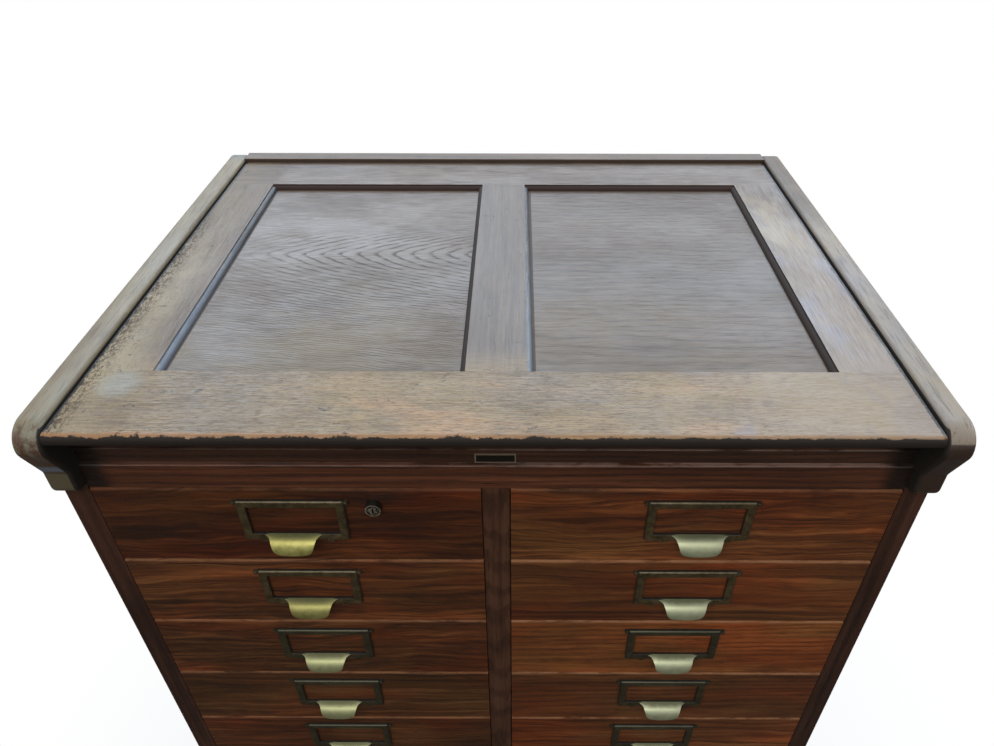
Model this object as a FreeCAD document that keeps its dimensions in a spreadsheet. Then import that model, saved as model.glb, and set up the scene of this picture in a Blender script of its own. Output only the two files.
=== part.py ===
import FreeCAD, Part
import math
import operator
import os

import Sketcher


# Archive cabinet of stained oak: two columns of shallow filing drawers under a framed top
# between two shaped cheeks. Millimetres, X to the right, Y to the back, Z up.
# The origin is at the middle of the footprint, on the floor.

ROWS = 10
COLUMNS = "lr"

SIZES = {
    # Carcass
    "body_depth": 572.0,
    "side_thickness": 24.0,
    "side_edge_bevel": 2.0,
    "centre_stile_width": 25.4,
    "front_thickness": 22.0,
    "rail_height": 27.0,
    "rail_edge_bevel": 1.0,
    "plinth_height": 82.0,
    "plinth_thickness": 20.0,
    "plinth_setback": 6.0,
    "bottom_thickness": 12.0,
    "side_stile_width": 62.0,
    "side_rail_height": 62.0,
    "side_panel_thickness": 9.0,
    "back_thickness": 22.0,
    "back_inset": 4.0,
    "back_stile_width": 70.0,
    "back_panel_thickness": 8.0,
    "panel_groove": 8.0,
    "panel_clearance": 0.3,
    # Cheeks and cornice
    "cheek_height": 86.5,
    "cheek_stand": 5.0,
    "cheek_edge_bevel": 2.0,
    "nose_reach": 28.0,
    "nose_radius": 21.0,
    "nose_drop": 25.0,
    "nose_turn_radius": 20.0,
    "foot_reach": 12.5,
    "foot_height": 27.0,
    "knee_radius": 8.0,
    "foot_radius": 9.0,
    "heel_radius": 14.0,
    "cornice_height": 57.0,
    "frieze_setback": 4.0,
    "bead_drop": 17.0,
    "bead_height": 3.0,
    "bead_reach": 2.0,
    # Framed top
    "top_thickness": 22.0,
    "top_overhang": 27.0,
    "top_nose_height": 12.0,
    "top_nose_radius": 5.5,
    "top_gap": 2.0,
    "top_front_rail": 88.0,
    "top_back_rail": 76.0,
    "top_side_stile": 57.0,
    "top_muntin": 55.5,
    "moulding_step": 1.5,
    "moulding_radius": 5.0,
    "top_panel_thickness": 9.0,
    # Drawers
    "drawer_front_width": 350.0,
    "drawer_front_height": 97.0,
    "drawer_front_thickness": 20.0,
    "drawer_edge_bevel": 1.5,
    "drawer_seam": 2.0,
    "drawer_side_gap": 0.65,
    "drawer_back_gap": 11.0,
    "drawer_side_thickness": 12.0,
    "drawer_side_height": 84.0,
    "drawer_side_lift": 4.0,
    "drawer_back_thickness": 12.0,
    "drawer_back_inset": 10.0,
    "drawer_housing": 4.0,
    "drawer_bottom_thickness": 6.0,
    "drawer_bottom_lift": 11.0,
    "drawer_bottom_groove": 5.0,
    "tail_length": 13.0,
    "tail_root": 22.0,
    "tail_flare": 2.0,
    "tail_pitch": 42.0,
    # Runners
    "runner_height": 12.0,
    "runner_grip": 5.5,
    "runner_back_gap": 5.0,
    "runner_start": 20.0,
    "runner_end_clearance": 1.0,
    "runner_side_clearance": 0.5,
    "running_clearance": 0.3,
    # Pulls
    "pull_width": 98.5,
    "pull_height": 53.0,
    "pull_drop": 12.4,
    "pull_stand": 3.0,
    "pull_gauge": 1.0,
    "window_width": 82.0,
    "window_height": 35.5,
    "window_drop": 9.0,
    "ear_reach": 6.0,
    "ear_height": 7.0,
    "ear_clip": 2.0,
    "lug_offset": 33.0,
    "lug_width": 7.0,
    "lug_tip_width": 3.5,
    "lug_drop": 2.5,
    "tongue_gauge": 1.2,
    "tongue_root_width": 47.0,
    "tongue_tip_width": 33.0,
    "tongue_corner": 6.0,
    "tongue_bend_radius": 11.0,
    "tongue_rise": 2.5,
    "tongue_reach": 16.5,
    "tongue_fall": 5.0,
    "tongue_height": 14.0,
    # Nameplate and lock
    "plate_width": 36.0,
    "plate_height": 10.0,
    "plate_thickness": 0.8,
    "plate_lift": 1.0,
    "lock_offset": 77.0,
    "lock_drop": 21.0,
    "lock_radius": 7.5,
    "lock_stand": 7.0,
    "lock_clearance": 0.1,
    "lock_overrun": 1.0,
    "plug_radius": 5.0,
    "plug_clearance": 0.05,
    "keyway_width": 1.4,
    "keyway_height": 6.0,
    "keyway_depth": 4.0,
    "cam_length": 38.0,
    "cam_width": 10.0,
    "cam_thickness": 2.0,
    "cam_clearance": 0.5,
}

OPERATIONS = {"+": operator.add, "-": operator.sub, "*": operator.mul, "/": operator.truediv}


class Size:
    """A length known both as a number and as a formula of the sheet's cells."""

    def __init__(self, number, formula=None):
        self.number = float(number)
        self.formula = formula or f"{self.number:.6f}"

    def joined(self, sign, other):
        other = size(other)
        number = OPERATIONS[sign](self.number, other.number)
        return Size(number, f"({self.formula} {sign} {other.formula})")

    def __add__(self, other):
        return self.joined("+", other)

    def __sub__(self, other):
        return self.joined("-", other)

    def __mul__(self, other):
        return self.joined("*", other)

    def __truediv__(self, other):
        return self.joined("/", other)

    def __neg__(self):
        return Size(0).joined("-", self)

    def __rmul__(self, other):
        return size(other).joined("*", self)


def size(value):
    """A Size from a Size or a plain number."""
    return value if isinstance(value, Size) else Size(value)


doc = FreeCAD.newDocument("archive_cabinet")
sheet = doc.addObject("Spreadsheet::Sheet", "Sizes")
driving = {}
for row_number, (alias, length) in enumerate(SIZES.items(), start=1):
    sheet.set(f"A{row_number}", alias)
    sheet.set(f"B{row_number}", str(length))
    sheet.setAlias(f"B{row_number}", alias)
    driving[alias] = Size(length, f"Sizes.{alias}")
doc.recompute()


def of(alias):
    """The driving size with this name."""
    return driving[alias]


def bind(item, path, value):
    """Tie one property of an object to a size."""
    item.setExpression(path, size(value).formula)


# Places worked out from the driving sizes

column_width = of("drawer_front_width") + 2 * of("drawer_side_gap")
inner_half = column_width + of("centre_stile_width") / 2
outer_half = inner_half + of("side_thickness")
column_centre = (column_width + of("centre_stile_width")) / 2
drawer_pitch = of("drawer_front_height") + of("drawer_seam")

front_y = (of("nose_reach") - of("body_depth")) / 2
back_y = front_y + of("body_depth")
nose_y = front_y - of("nose_reach")
lining_y = front_y + of("front_thickness")
back_outer_y = back_y - of("back_inset")
back_inner_y = back_outer_y - of("back_thickness")

bottom_rail_top = of("plinth_height") + of("rail_height")
stack_bottom = bottom_rail_top + of("drawer_seam")
top_rail_bottom = stack_bottom + ROWS * drawer_pitch
top_rail_top = top_rail_bottom + of("rail_height")
top_z = top_rail_top + of("cornice_height")
top_underside = top_z - of("top_thickness")
cheek_top = top_z + of("cheek_stand")
cheek_bottom = cheek_top - of("cheek_height")
floor_z = size(0)

AXES = {"x": "YZ_Plane", "y": "XZ_Plane", "z": "XY_Plane"}


def new_body(name):
    return doc.addObject("PartDesign::Body", name)


def origin_plane(body, role):
    return next(item for item in body.Origin.OriginFeatures if item.Role == role)


def hold(sketch, edge, end, corner):
    """Fix one end of a sketch edge at two sizes from the sketch's origin."""
    for kind, place in zip(("DistanceX", "DistanceY"), corner):
        place = size(place)
        if place.formula == Size(0).formula:
            axis = -2 if kind == "DistanceX" else -1
            sketch.addConstraint(Sketcher.Constraint("PointOnObject", edge, end, axis))
            continue
        number = sketch.addConstraint(Sketcher.Constraint(kind, -1, 1, edge, end, place.number))
        bind(sketch, f"Constraints[{number}]", place)


def flat(corner):
    return FreeCAD.Vector(size(corner[0]).number, size(corner[1]).number, 0)


def arc_about(centre, start, end):
    """The shorter arc about a centre between two corners; sketch arcs run anticlockwise."""
    spokes = [flat(start) - flat(centre), flat(end) - flat(centre)]
    if spokes[0].cross(spokes[1]).z < 0:
        spokes.reverse()
    circle = Part.Circle(flat(centre), FreeCAD.Vector(0, 0, 1), spokes[0].Length)
    angles = [math.atan2(spoke.y, spoke.x) for spoke in spokes]
    return Part.ArcOfCircle(circle, angles[0], angles[1])


def end_at(sketch, edge, corner):
    """Which end of a sketch edge lies at a corner: 1 for its start, 2 for its end."""
    shape = sketch.Geometry[edge]
    place = flat(corner)
    return 1 if (shape.StartPoint - place).Length < (shape.EndPoint - place).Length else 2


def draw(sketch, corners):
    """Draw one closed outline. A corner with a third entry is reached by an arc about that centre."""
    count = len(corners)
    edges = []
    for start, end in zip(corners, corners[1:] + corners[:1]):
        shape = Part.LineSegment(flat(start), flat(end))
        if len(end) == 3:
            shape = arc_about(end[2], start, end)
        edges.append(sketch.addGeometry(shape, False))
    for index, corner in enumerate(corners):
        arriving, leaving = edges[index - 1], edges[index]
        last, first = end_at(sketch, arriving, corner), end_at(sketch, leaving, corner)
        sketch.addConstraint(Sketcher.Constraint("Coincident", arriving, last, leaving, first))
        hold(sketch, leaving, first, corner[:2])
        if len(corner) == 3:
            level = size(corner[2][1])
            hold_level(sketch, arriving, level)


def hold_level(sketch, arc, level):
    """Fix the height of an arc's centre, which with its two ends sets the arc."""
    number = sketch.addConstraint(Sketcher.Constraint("DistanceY", -1, 1, arc, 3, level.number))
    bind(sketch, f"Constraints[{number}]", level)


def sketch_on(body, name, axis, level):
    """A sketch square to an axis. Along Y the sketch looks back at the front."""
    sketch = body.newObject("Sketcher::SketchObject", name)
    sketch.AttachmentSupport = [(origin_plane(body, AXES[axis]), "")]
    sketch.MapMode = "FlatFace"
    bind(sketch, "AttachmentOffset.Base.z", -level if axis == "y" else level)
    return sketch


def extrude(body, kind, name, axis, outlines, low, high):
    """Pad or pocket outlines along an axis from a low to a high place."""
    sketch = sketch_on(body, f"{name}_sketch", axis, size(high) if axis == "y" else size(low))
    for outline in outlines:
        draw(sketch, outline)
    doc.recompute()
    before = body.Shape.Volume if kind == "PartDesign::Pocket" else 0.0
    feature = body.newObject(kind, name)
    feature.Profile = sketch
    bind(feature, "Length", size(high) - size(low))
    feature.Reversed = kind == "PartDesign::Pocket"
    doc.recompute()
    change = body.Shape.Volume - before
    if kind == "PartDesign::Pocket" and change >= 0:
        raise ValueError(f"{name} cuts nothing from {body.Name}")
    return feature


def pad(body, name, axis, outlines, low, high):
    return extrude(body, "PartDesign::Pad", name, axis, outlines, low, high)


def pocket(body, name, axis, outlines, low, high):
    return extrude(body, "PartDesign::Pocket", name, axis, outlines, low, high)


def rectangle(across, up):
    """The four corners between two places across and two places up."""
    return [(across[0], up[0]), (across[1], up[0]), (across[1], up[1]), (across[0], up[1])]


def edges_through(shape, places):
    """Names of the straight edges whose two ends match every place; None matches anywhere."""
    names = []
    for number, edge in enumerate(shape.Edges, start=1):
        ends = [vertex.Point for vertex in edge.Vertexes]
        for place in places:
            wanted = [None if entry is None else size(entry).number for entry in place]
            if len(ends) == 2 and all(abs(point[axis] - goal) < 1e-4
                                      for point in ends
                                      for axis, goal in enumerate(wanted) if goal is not None):
                names.append(f"Edge{number}")
                break
    return names


def dress(body, kind, name, value, places):
    """Fillet or chamfer the edges of a body that lie at the given places."""
    base = body.Tip
    names = edges_through(base.Shape, places)
    if len(names) < len(places):
        raise ValueError(f"{name} finds {len(names)} edges on {body.Name}")
    feature = body.newObject(kind, name)
    feature.Base = (base, names)
    bind(feature, "Radius" if kind == "PartDesign::Fillet" else "Size", value)
    doc.recompute()
    return feature


def fillet(body, name, radius, places):
    return dress(body, "PartDesign::Fillet", name, radius, places)


def chamfer(body, name, width, places):
    return dress(body, "PartDesign::Chamfer", name, width, places)


def block(name, across, deep, up):
    """A plain board between two places on each axis."""
    board = doc.addObject("Part::Box", name)
    for length, axis, (low, high) in zip(("Length", "Width", "Height"), "xyz", (across, deep, up)):
        bind(board, length, size(high) - size(low))
        bind(board, f"Placement.Base.{axis}", size(low))
    return board


def cut(name, base, tools):
    """A piece with tools taken away."""
    result = doc.addObject("Part::Cut", name)
    result.Base = base
    result.Tool = group(f"{name}_tools", tools)
    return result


def shared(name, pieces):
    """The material that all the pieces share."""
    result = doc.addObject("Part::MultiCommon", name)
    result.Shapes = pieces
    return result


def group(name, pieces):
    """Separate solids kept together under one name."""
    result = doc.addObject("Part::Compound", name)
    result.Links = pieces
    return result


nodes = []


def node(name, pieces, across=0, deep=0, up=0):
    """A finished sub-part: its solids together, moved to their place."""
    result = group(name, pieces)
    result.Label = name
    for axis, place in zip("xyz", (across, deep, up)):
        bind(result, f"Placement.Base.{axis}", size(place))
    nodes.append(result)
    return result


def ordered(side, near, far):
    """Two places out from the middle, lowest first, on the left (-1) or the right (1)."""
    return (size(near), size(far)) if side > 0 else (-size(far), -size(near))


# Cheeks: boards with a rounded nose over a slanted, stepped foot

def cheek(name, side):
    low, high = ordered(side, inner_half, outer_half)
    foot_y = front_y - of("foot_reach")
    nose_z = cheek_top - of("nose_drop")
    foot_z = cheek_bottom + of("foot_height")
    body = new_body(f"{name}_board")
    profile = [
        (nose_y, cheek_top),
        (back_y, cheek_top),
        (back_y, cheek_bottom),
        (foot_y, cheek_bottom),
        (foot_y, foot_z),
        (nose_y, nose_z),
    ]
    pad(body, "profile", "x", [profile], low, high)
    fillet(body, "nose", of("nose_radius"), [(None, nose_y, cheek_top)])
    fillet(body, "turn", of("nose_turn_radius"), [(None, nose_y, nose_z)])
    fillet(body, "knee", of("knee_radius"), [(None, foot_y, foot_z)])
    fillet(body, "foot", of("foot_radius"), [(None, foot_y, cheek_bottom)])
    fillet(body, "heel", of("heel_radius"), [(None, back_y, cheek_top)])
    top_edges = [(low, None, cheek_top), (high, None, cheek_top)]
    chamfer(body, "edges", of("cheek_edge_bevel"), top_edges)
    node(name, [body])


cheek("left_cheek", -1)
cheek("right_cheek", 1)


# Side frames: stiles and rails grooved for two panels each

def side_frame(side):
    word = "left" if side < 0 else "right"
    low, high = ordered(side, inner_half, outer_half)
    outer = high if side > 0 else low
    blank = new_body(f"{word}_side_blank")
    outline = rectangle((low, high), (front_y, back_y))
    pad(blank, "board", "z", [outline], floor_z, cheek_bottom)
    chamfer(blank, "arris", of("side_edge_bevel"), [(outer, front_y, None)])
    stile_front = front_y + of("side_stile_width")
    stile_back = back_y - of("side_stile_width")
    upper = cheek_bottom - of("side_rail_height")
    middle = (upper + bottom_rail_top) / 2
    middle_low = middle - of("side_rail_height") / 2
    middle_high = middle + of("side_rail_height") / 2
    centre_x = (low + high) / 2
    groove = (centre_x - of("side_panel_thickness") / 2, centre_x + of("side_panel_thickness") / 2)
    openings = {"lower": (bottom_rail_top, middle_low), "upper": (middle_high, upper)}
    reach = of("panel_groove")
    tuck = of("panel_groove") - of("panel_clearance")
    tools, panels = [], []
    for level, (bottom, top) in openings.items():
        deep = (stile_front, stile_back)
        tools.append(block(f"{word}_{level}_opening", (low, high), deep, (bottom, top)))
        wide = (stile_front - reach, stile_back + reach)
        tall = (bottom - reach, top + reach)
        tools.append(block(f"{word}_{level}_groove", groove, wide, tall))
        snug = (stile_front - tuck, stile_back + tuck)
        panel = (bottom - tuck, top + tuck)
        panels.append(block(f"{word}_{level}_panel", groove, snug, panel))
    framed = cut(f"{word}_side_openings", blank, tools)
    members = {
        "front_stile": ((front_y, stile_front), (floor_z, cheek_bottom)),
        "back_stile": ((stile_back, back_y), (floor_z, cheek_bottom)),
        "top_rail": ((stile_front, stile_back), (upper, cheek_bottom)),
        "middle_rail": ((stile_front, stile_back), (middle_low, middle_high)),
        "bottom_rail": ((stile_front, stile_back), (floor_z, bottom_rail_top)),
    }
    pieces = [shared(f"{word}_{part}", [framed, block(f"{word}_{part}_place", (low, high), deep, up)])
              for part, (deep, up) in members.items()]
    node(f"{word}_side_frame", pieces)
    return panels


node("side_panels", side_frame(-1) + side_frame(1))


# Back: a grooved frame with a middle muntin and two panels, and a low upstand over it

def back():
    across = (-inner_half, inner_half)
    deep = (back_inner_y, back_outer_y)
    stile = inner_half - of("back_stile_width")
    half_muntin = of("back_stile_width") / 2
    low = bottom_rail_top
    high = cheek_bottom - of("back_stile_width")
    centre_y = (back_inner_y + back_outer_y) / 2
    groove = (centre_y - of("back_panel_thickness") / 2, centre_y + of("back_panel_thickness") / 2)
    reach = of("panel_groove")
    tuck = of("panel_groove") - of("panel_clearance")
    blank = block("back_blank", across, deep, (floor_z, cheek_bottom))
    tools, panels = [], []
    for word, side in (("left", -1), ("right", 1)):
        near, far = ordered(side, half_muntin, stile)
        tools.append(block(f"back_{word}_opening", (near, far), deep, (low, high)))
        wide = (near - reach, far + reach)
        tools.append(block(f"back_{word}_groove", wide, groove, (low - reach, high + reach)))
        snug = (near - tuck, far + tuck)
        panels.append(block(f"back_{word}_panel", snug, groove, (low - tuck, high + tuck)))
    framed = cut("back_openings", blank, tools)
    members = {
        "left_stile": ((-inner_half, -stile), (floor_z, cheek_bottom)),
        "right_stile": ((stile, inner_half), (floor_z, cheek_bottom)),
        "muntin": ((-half_muntin, half_muntin), (low, high)),
        "top_rail": ((-stile, stile), (high, cheek_bottom)),
        "bottom_rail": ((-stile, stile), (floor_z, low)),
    }
    pieces = [shared(f"back_{part}", [framed, block(f"back_{part}_place", wide, deep, up)])
              for part, (wide, up) in members.items()]
    node("back_frame", pieces)
    node("back_panels", panels)
    node("back_upstand", [block("upstand", across, deep, (cheek_bottom, cheek_top))])


back()


# Framed top: rails, stiles and a muntin with a stuck ovolo around two sunk panels

def moulded_opening(name, across, deep):
    """The space of one opening: square below, an ovolo and a small step above, mitred."""
    reach = of("moulding_radius")
    ovolo_z = top_z - of("moulding_step") - of("moulding_radius")
    step_z = top_z - of("moulding_step")
    prisms = []
    for axis, (low, high) in (("x", deep), ("y", across)):
        body = new_body(f"{name}_{axis}")
        profile = [
            (low + reach, top_underside),
            (high - reach, top_underside),
            (high - reach, ovolo_z),
            (high, step_z, (high, ovolo_z)),
            (high, top_z),
            (low, top_z),
            (low, step_z),
            (low + reach, ovolo_z, (low, ovolo_z)),
        ]
        run = across if axis == "x" else deep
        pad(body, "run", axis, [profile], run[0], run[1])
        prisms.append(body)
    return shared(name, prisms)


def framed_top():
    half = inner_half - of("top_gap")
    start_y = front_y - of("top_overhang")
    blank = new_body("top_blank")
    nose_low = top_z - of("top_nose_height")
    profile = [
        (start_y, nose_low),
        (front_y, nose_low),
        (front_y, top_underside),
        (back_inner_y, top_underside),
        (back_inner_y, top_z),
        (start_y, top_z),
    ]
    pad(blank, "board", "x", [profile], -half, half)
    nose = [(None, start_y, top_z), (None, start_y, nose_low)]
    fillet(blank, "nose", of("top_nose_radius"), nose)
    reach = of("moulding_radius")
    rail_y = start_y + of("top_front_rail")
    far_y = back_inner_y - of("top_back_rail")
    stile_x = half - of("top_side_stile")
    muntin_x = of("top_muntin") / 2
    panel_top = top_z - of("moulding_step") - of("moulding_radius")
    panel_up = (panel_top - of("top_panel_thickness"), panel_top)
    groove = of("panel_groove") - reach
    tuck = groove - of("panel_clearance")
    tools, panels = [], []
    for word, side in (("left", -1), ("right", 1)):
        near, far = ordered(side, muntin_x, stile_x)
        tools.append(moulded_opening(f"top_{word}_opening", (near, far), (rail_y, far_y)))
        wide, deep = (near - groove, far + groove), (rail_y - groove, far_y + groove)
        tools.append(block(f"top_{word}_groove", wide, deep, panel_up))
        snug, length = (near - tuck, far + tuck), (rail_y - tuck, far_y + tuck)
        panels.append(block(f"top_{word}_panel", snug, length, panel_up))
    framed = cut("top_openings", blank, tools)
    inner_x, inner_muntin = stile_x - reach, muntin_x + reach
    front_in, back_in = rail_y + reach, far_y - reach

    def rail(outer_y, edge_y, inner_y):
        """A rail from end to end of the top, its moulding mitred in both openings."""
        return [(-half, outer_y), (half, outer_y), (half, edge_y), (stile_x, edge_y),
                (inner_x, inner_y), (inner_muntin, inner_y), (muntin_x, edge_y),
                (-muntin_x, edge_y), (-inner_muntin, inner_y), (-inner_x, inner_y),
                (-stile_x, edge_y), (-half, edge_y)]

    def stile(side):
        """A stile between the rails, its moulding mitred at both ends."""
        return [(side * half, rail_y), (side * stile_x, rail_y), (side * inner_x, front_in),
                (side * inner_x, back_in), (side * stile_x, far_y), (side * half, far_y)]

    members = {
        "left_stile": stile(-1),
        "right_stile": stile(1),
        "front_rail": rail(start_y, rail_y, front_in),
        "back_rail": rail(back_inner_y, far_y, back_in),
        "muntin": [(-muntin_x, rail_y), (muntin_x, rail_y), (inner_muntin, front_in),
                   (inner_muntin, back_in), (muntin_x, far_y), (-muntin_x, far_y),
                   (-inner_muntin, back_in), (-inner_muntin, front_in)],
    }
    pieces = []
    for part, plan in members.items():
        place = new_body(f"top_{part}_place")
        pad(place, "plan", "z", [plan], top_underside, top_z)
        pieces.append(shared(f"top_{part}", [framed, place]))
    node("top_frame", pieces)
    node("top_panels", panels)


framed_top()


# Frieze under the top, with a small bead along it

frieze_y = front_y + of("frieze_setback")


def frieze():
    body = new_body("frieze_board")
    bead_top = top_underside - of("bead_drop")
    bead_low = bead_top - of("bead_height")
    bead_y = frieze_y - of("bead_reach")
    profile = [
        (frieze_y, top_rail_top),
        (lining_y, top_rail_top),
        (lining_y, top_underside),
        (frieze_y, top_underside),
        (frieze_y, bead_top),
        (bead_y, bead_top),
        (bead_y, bead_low),
        (frieze_y, bead_low),
    ]
    pad(body, "profile", "x", [profile], -inner_half, inner_half)
    node("frieze", [body])
    deep = (frieze_y - of("plate_thickness"), frieze_y)
    low = top_rail_top + of("plate_lift")
    half = of("plate_width") / 2
    node("nameplate", [block("plate", (-half, half), deep, (low, low + of("plate_height")))])


frieze()


# Front members: a rail over and under the drawers, the stile between the columns, the plinth

def front_rail(name, low, high):
    body = new_body(name)
    pad(body, "rail", "x", [rectangle((front_y, lining_y), (low, high))], -inner_half, inner_half)
    chamfer(body, "arris", of("rail_edge_bevel"), [(None, front_y, high)])
    return body


def front_members():
    upper = front_rail("upper_rail", top_rail_bottom, top_rail_top)
    lower = front_rail("lower_rail", of("plinth_height"), bottom_rail_top)
    node("front_rails", [upper, lower])
    half = of("centre_stile_width") / 2
    stile = new_body("stile_board")
    outline = rectangle((-half, half), (front_y, lining_y))
    pad(stile, "stile", "z", [outline], bottom_rail_top, top_rail_bottom)
    arrises = [(-half, front_y, None), (half, front_y, None)]
    chamfer(stile, "arrises", of("rail_edge_bevel"), arrises)
    node("centre_stile", [stile])
    partition = (lining_y, back_inner_y)
    node("centre_partition", [block("partition", (-half, half), partition,
                                    (bottom_rail_top, top_underside))])
    low = bottom_rail_top - of("bottom_thickness")
    across = (-inner_half, inner_half)
    node("bottom_board", [block("dust_board", across, partition, (low, bottom_rail_top))])
    plinth_y = front_y + of("plinth_setback")
    deep = (plinth_y, plinth_y + of("plinth_thickness"))
    node("plinth", [block("plinth_board", across, deep, (floor_z, of("plinth_height")))])


front_members()


# Drawer boxes, drawn once about the middle of a column with the front's lower edge at zero

half_front = of("drawer_front_width") / 2
inside_half = half_front - of("drawer_side_thickness")
front_back_y = front_y + of("drawer_front_thickness")
box_end_y = back_inner_y - of("drawer_back_gap")
box_back_y = box_end_y - of("drawer_back_inset")
box_back_inner_y = box_back_y - of("drawer_back_thickness")
side_low = of("drawer_side_lift")
side_high = side_low + of("drawer_side_height")
side_middle = (side_low + side_high) / 2
bottom_low = side_low + of("drawer_bottom_lift")
bottom_high = bottom_low + of("drawer_bottom_thickness")
tail_tip_y = front_back_y - of("tail_length")
runner_y = front_back_y + of("runner_start")


def tail(middle):
    """One dovetail seen from the side, from its root at the shoulder to its wide tip."""
    root = of("tail_root") / 2
    tip = root + of("tail_flare")
    return [(front_back_y, middle - root), (tail_tip_y, middle - tip),
            (tail_tip_y, middle + tip), (front_back_y, middle + root)]


tail_middles = [side_middle - of("tail_pitch") / 2, side_middle + of("tail_pitch") / 2]


def drawer_front(name, bored):
    """Front with dovetail sockets in its ends and a groove for the bottom."""
    body = new_body(name)
    outline = rectangle((front_y, front_back_y), (0, of("drawer_front_height")))
    pad(body, "board", "x", [outline], -half_front, half_front)
    top_edge = [(None, front_y, of("drawer_front_height"))]
    chamfer(body, "worn_edge", of("drawer_edge_bevel"), top_edge)
    for word, side in (("left", -1), ("right", 1)):
        low, high = ordered(side, inside_half, half_front)
        pocket(body, f"{word}_sockets", "x", [tail(middle) for middle in tail_middles], low, high)
    reach = inside_half + of("drawer_bottom_groove")
    groove = rectangle((-reach, reach), (bottom_low, bottom_high))
    pocket(body, "bottom_groove", "y", [groove],
           front_back_y - of("drawer_bottom_groove"), front_back_y)
    if bored:
        bore = sketch_on(body, "bore_sketch", "y", front_back_y)
        radius = of("lock_radius") + of("lock_clearance")
        centre = (of("lock_offset"), of("drawer_front_height") - of("lock_drop"))
        bore.addGeometry(Part.Circle(flat(centre), FreeCAD.Vector(0, 0, 1), radius.number), False)
        hold(bore, 0, 3, centre)
        number = bore.addConstraint(Sketcher.Constraint("Radius", 0, radius.number))
        bind(bore, f"Constraints[{number}]", radius)
        before = body.Shape.Volume
        hole = body.newObject("PartDesign::Pocket", "lock_bore")
        hole.Profile = bore
        hole.Reversed = True
        bind(hole, "Length", of("drawer_front_thickness"))
        doc.recompute()
        if body.Shape.Volume >= before:
            raise ValueError("lock_bore cuts nothing")
    return body


def drawer_side(name, side):
    """Side with tails at the front, grooves for runner and bottom, and a housing for the back."""
    body = new_body(name)
    outline = [(front_back_y, side_low)]
    for middle in tail_middles:
        outline += tail(middle)
    outline += [(front_back_y, side_high), (box_end_y, side_high), (box_end_y, side_low)]
    low, high = ordered(side, inside_half, half_front)
    pad(body, "board", "x", [outline], low, high)
    depth = of("runner_grip") + of("runner_side_clearance")
    half = of("runner_height") / 2 + of("running_clearance")
    groove = rectangle((runner_y, box_end_y), (side_middle - half, side_middle + half))
    near, far = ordered(side, half_front - depth, half_front)
    pocket(body, "runner_groove", "x", [groove], near, far)
    inner = ordered(side, inside_half, inside_half + of("drawer_bottom_groove"))
    slot = rectangle((tail_tip_y, box_end_y), (bottom_low, bottom_high))
    pocket(body, "bottom_groove", "x", [slot], inner[0], inner[1])
    housed = ordered(side, inside_half, inside_half + of("drawer_housing"))
    housing = rectangle((box_back_inner_y, box_back_y), (bottom_high, side_high))
    pocket(body, "back_housing", "x", [housing], housed[0], housed[1])
    return body


def drawer_box():
    """The sides, back and bottom that every drawer has."""
    housed = inside_half + of("drawer_housing")
    back_board = block("drawer_back", (-housed, housed), (box_back_inner_y, box_back_y),
                       (bottom_high, side_high))
    reach = of("drawer_bottom_groove") - of("panel_clearance")
    across = (-(inside_half + reach), inside_half + reach)
    deep = (front_back_y - reach, box_back_y)
    bottom = block("drawer_bottom", across, deep, (bottom_low, bottom_high))
    return [drawer_side("drawer_left_side", -1), drawer_side("drawer_right_side", 1),
            back_board, bottom]


# Pulls: a raised card frame on two ears and two lugs, with a curled tongue below it.
# They are drawn about the middle of the frame, with the drawer's face at zero.

def pull():
    body = new_body("pull_stamping")
    half = of("pull_width") / 2
    top = of("pull_height") / 2
    window_top = top - of("window_drop")
    window_low = window_top - of("window_height")
    stand = of("pull_stand")
    gauge = of("pull_gauge")
    pad(body, "frame", "y", [rectangle((-half, half), (-top, top))], -stand, 0)
    slot = rectangle((gauge - half, half - gauge), (gauge - top, top))
    pocket(body, "card_slot", "y", [slot], gauge - stand, 0)
    window = rectangle((-of("window_width") / 2, of("window_width") / 2), (window_low, window_top))
    pocket(body, "window", "y", [window], -stand, gauge - stand)
    clip = of("ear_clip")
    ear_low = top - of("ear_height")
    for word, side in (("left", -1), ("right", 1)):
        inner = side * half
        outer = side * (half + of("ear_reach"))
        clipped = side * (half + of("ear_reach") - clip)
        ear = [(inner, top), (inner, ear_low), (clipped, ear_low),
               (outer, ear_low + clip), (outer, top - clip), (clipped, top)]
        pad(body, f"{word}_ear", "y", [ear], -gauge, 0)
        offset = side * of("lug_offset")
        root, tip = of("lug_width") / 2, of("lug_tip_width") / 2
        lug_low = -top - of("lug_drop")
        lug = [(offset - root, -top), (offset - tip, lug_low),
               (offset + tip, lug_low), (offset + root, -top)]
        pad(body, f"{word}_lug", "y", [lug], -stand, 0)
    tongue(body, window_low)
    return body


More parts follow.
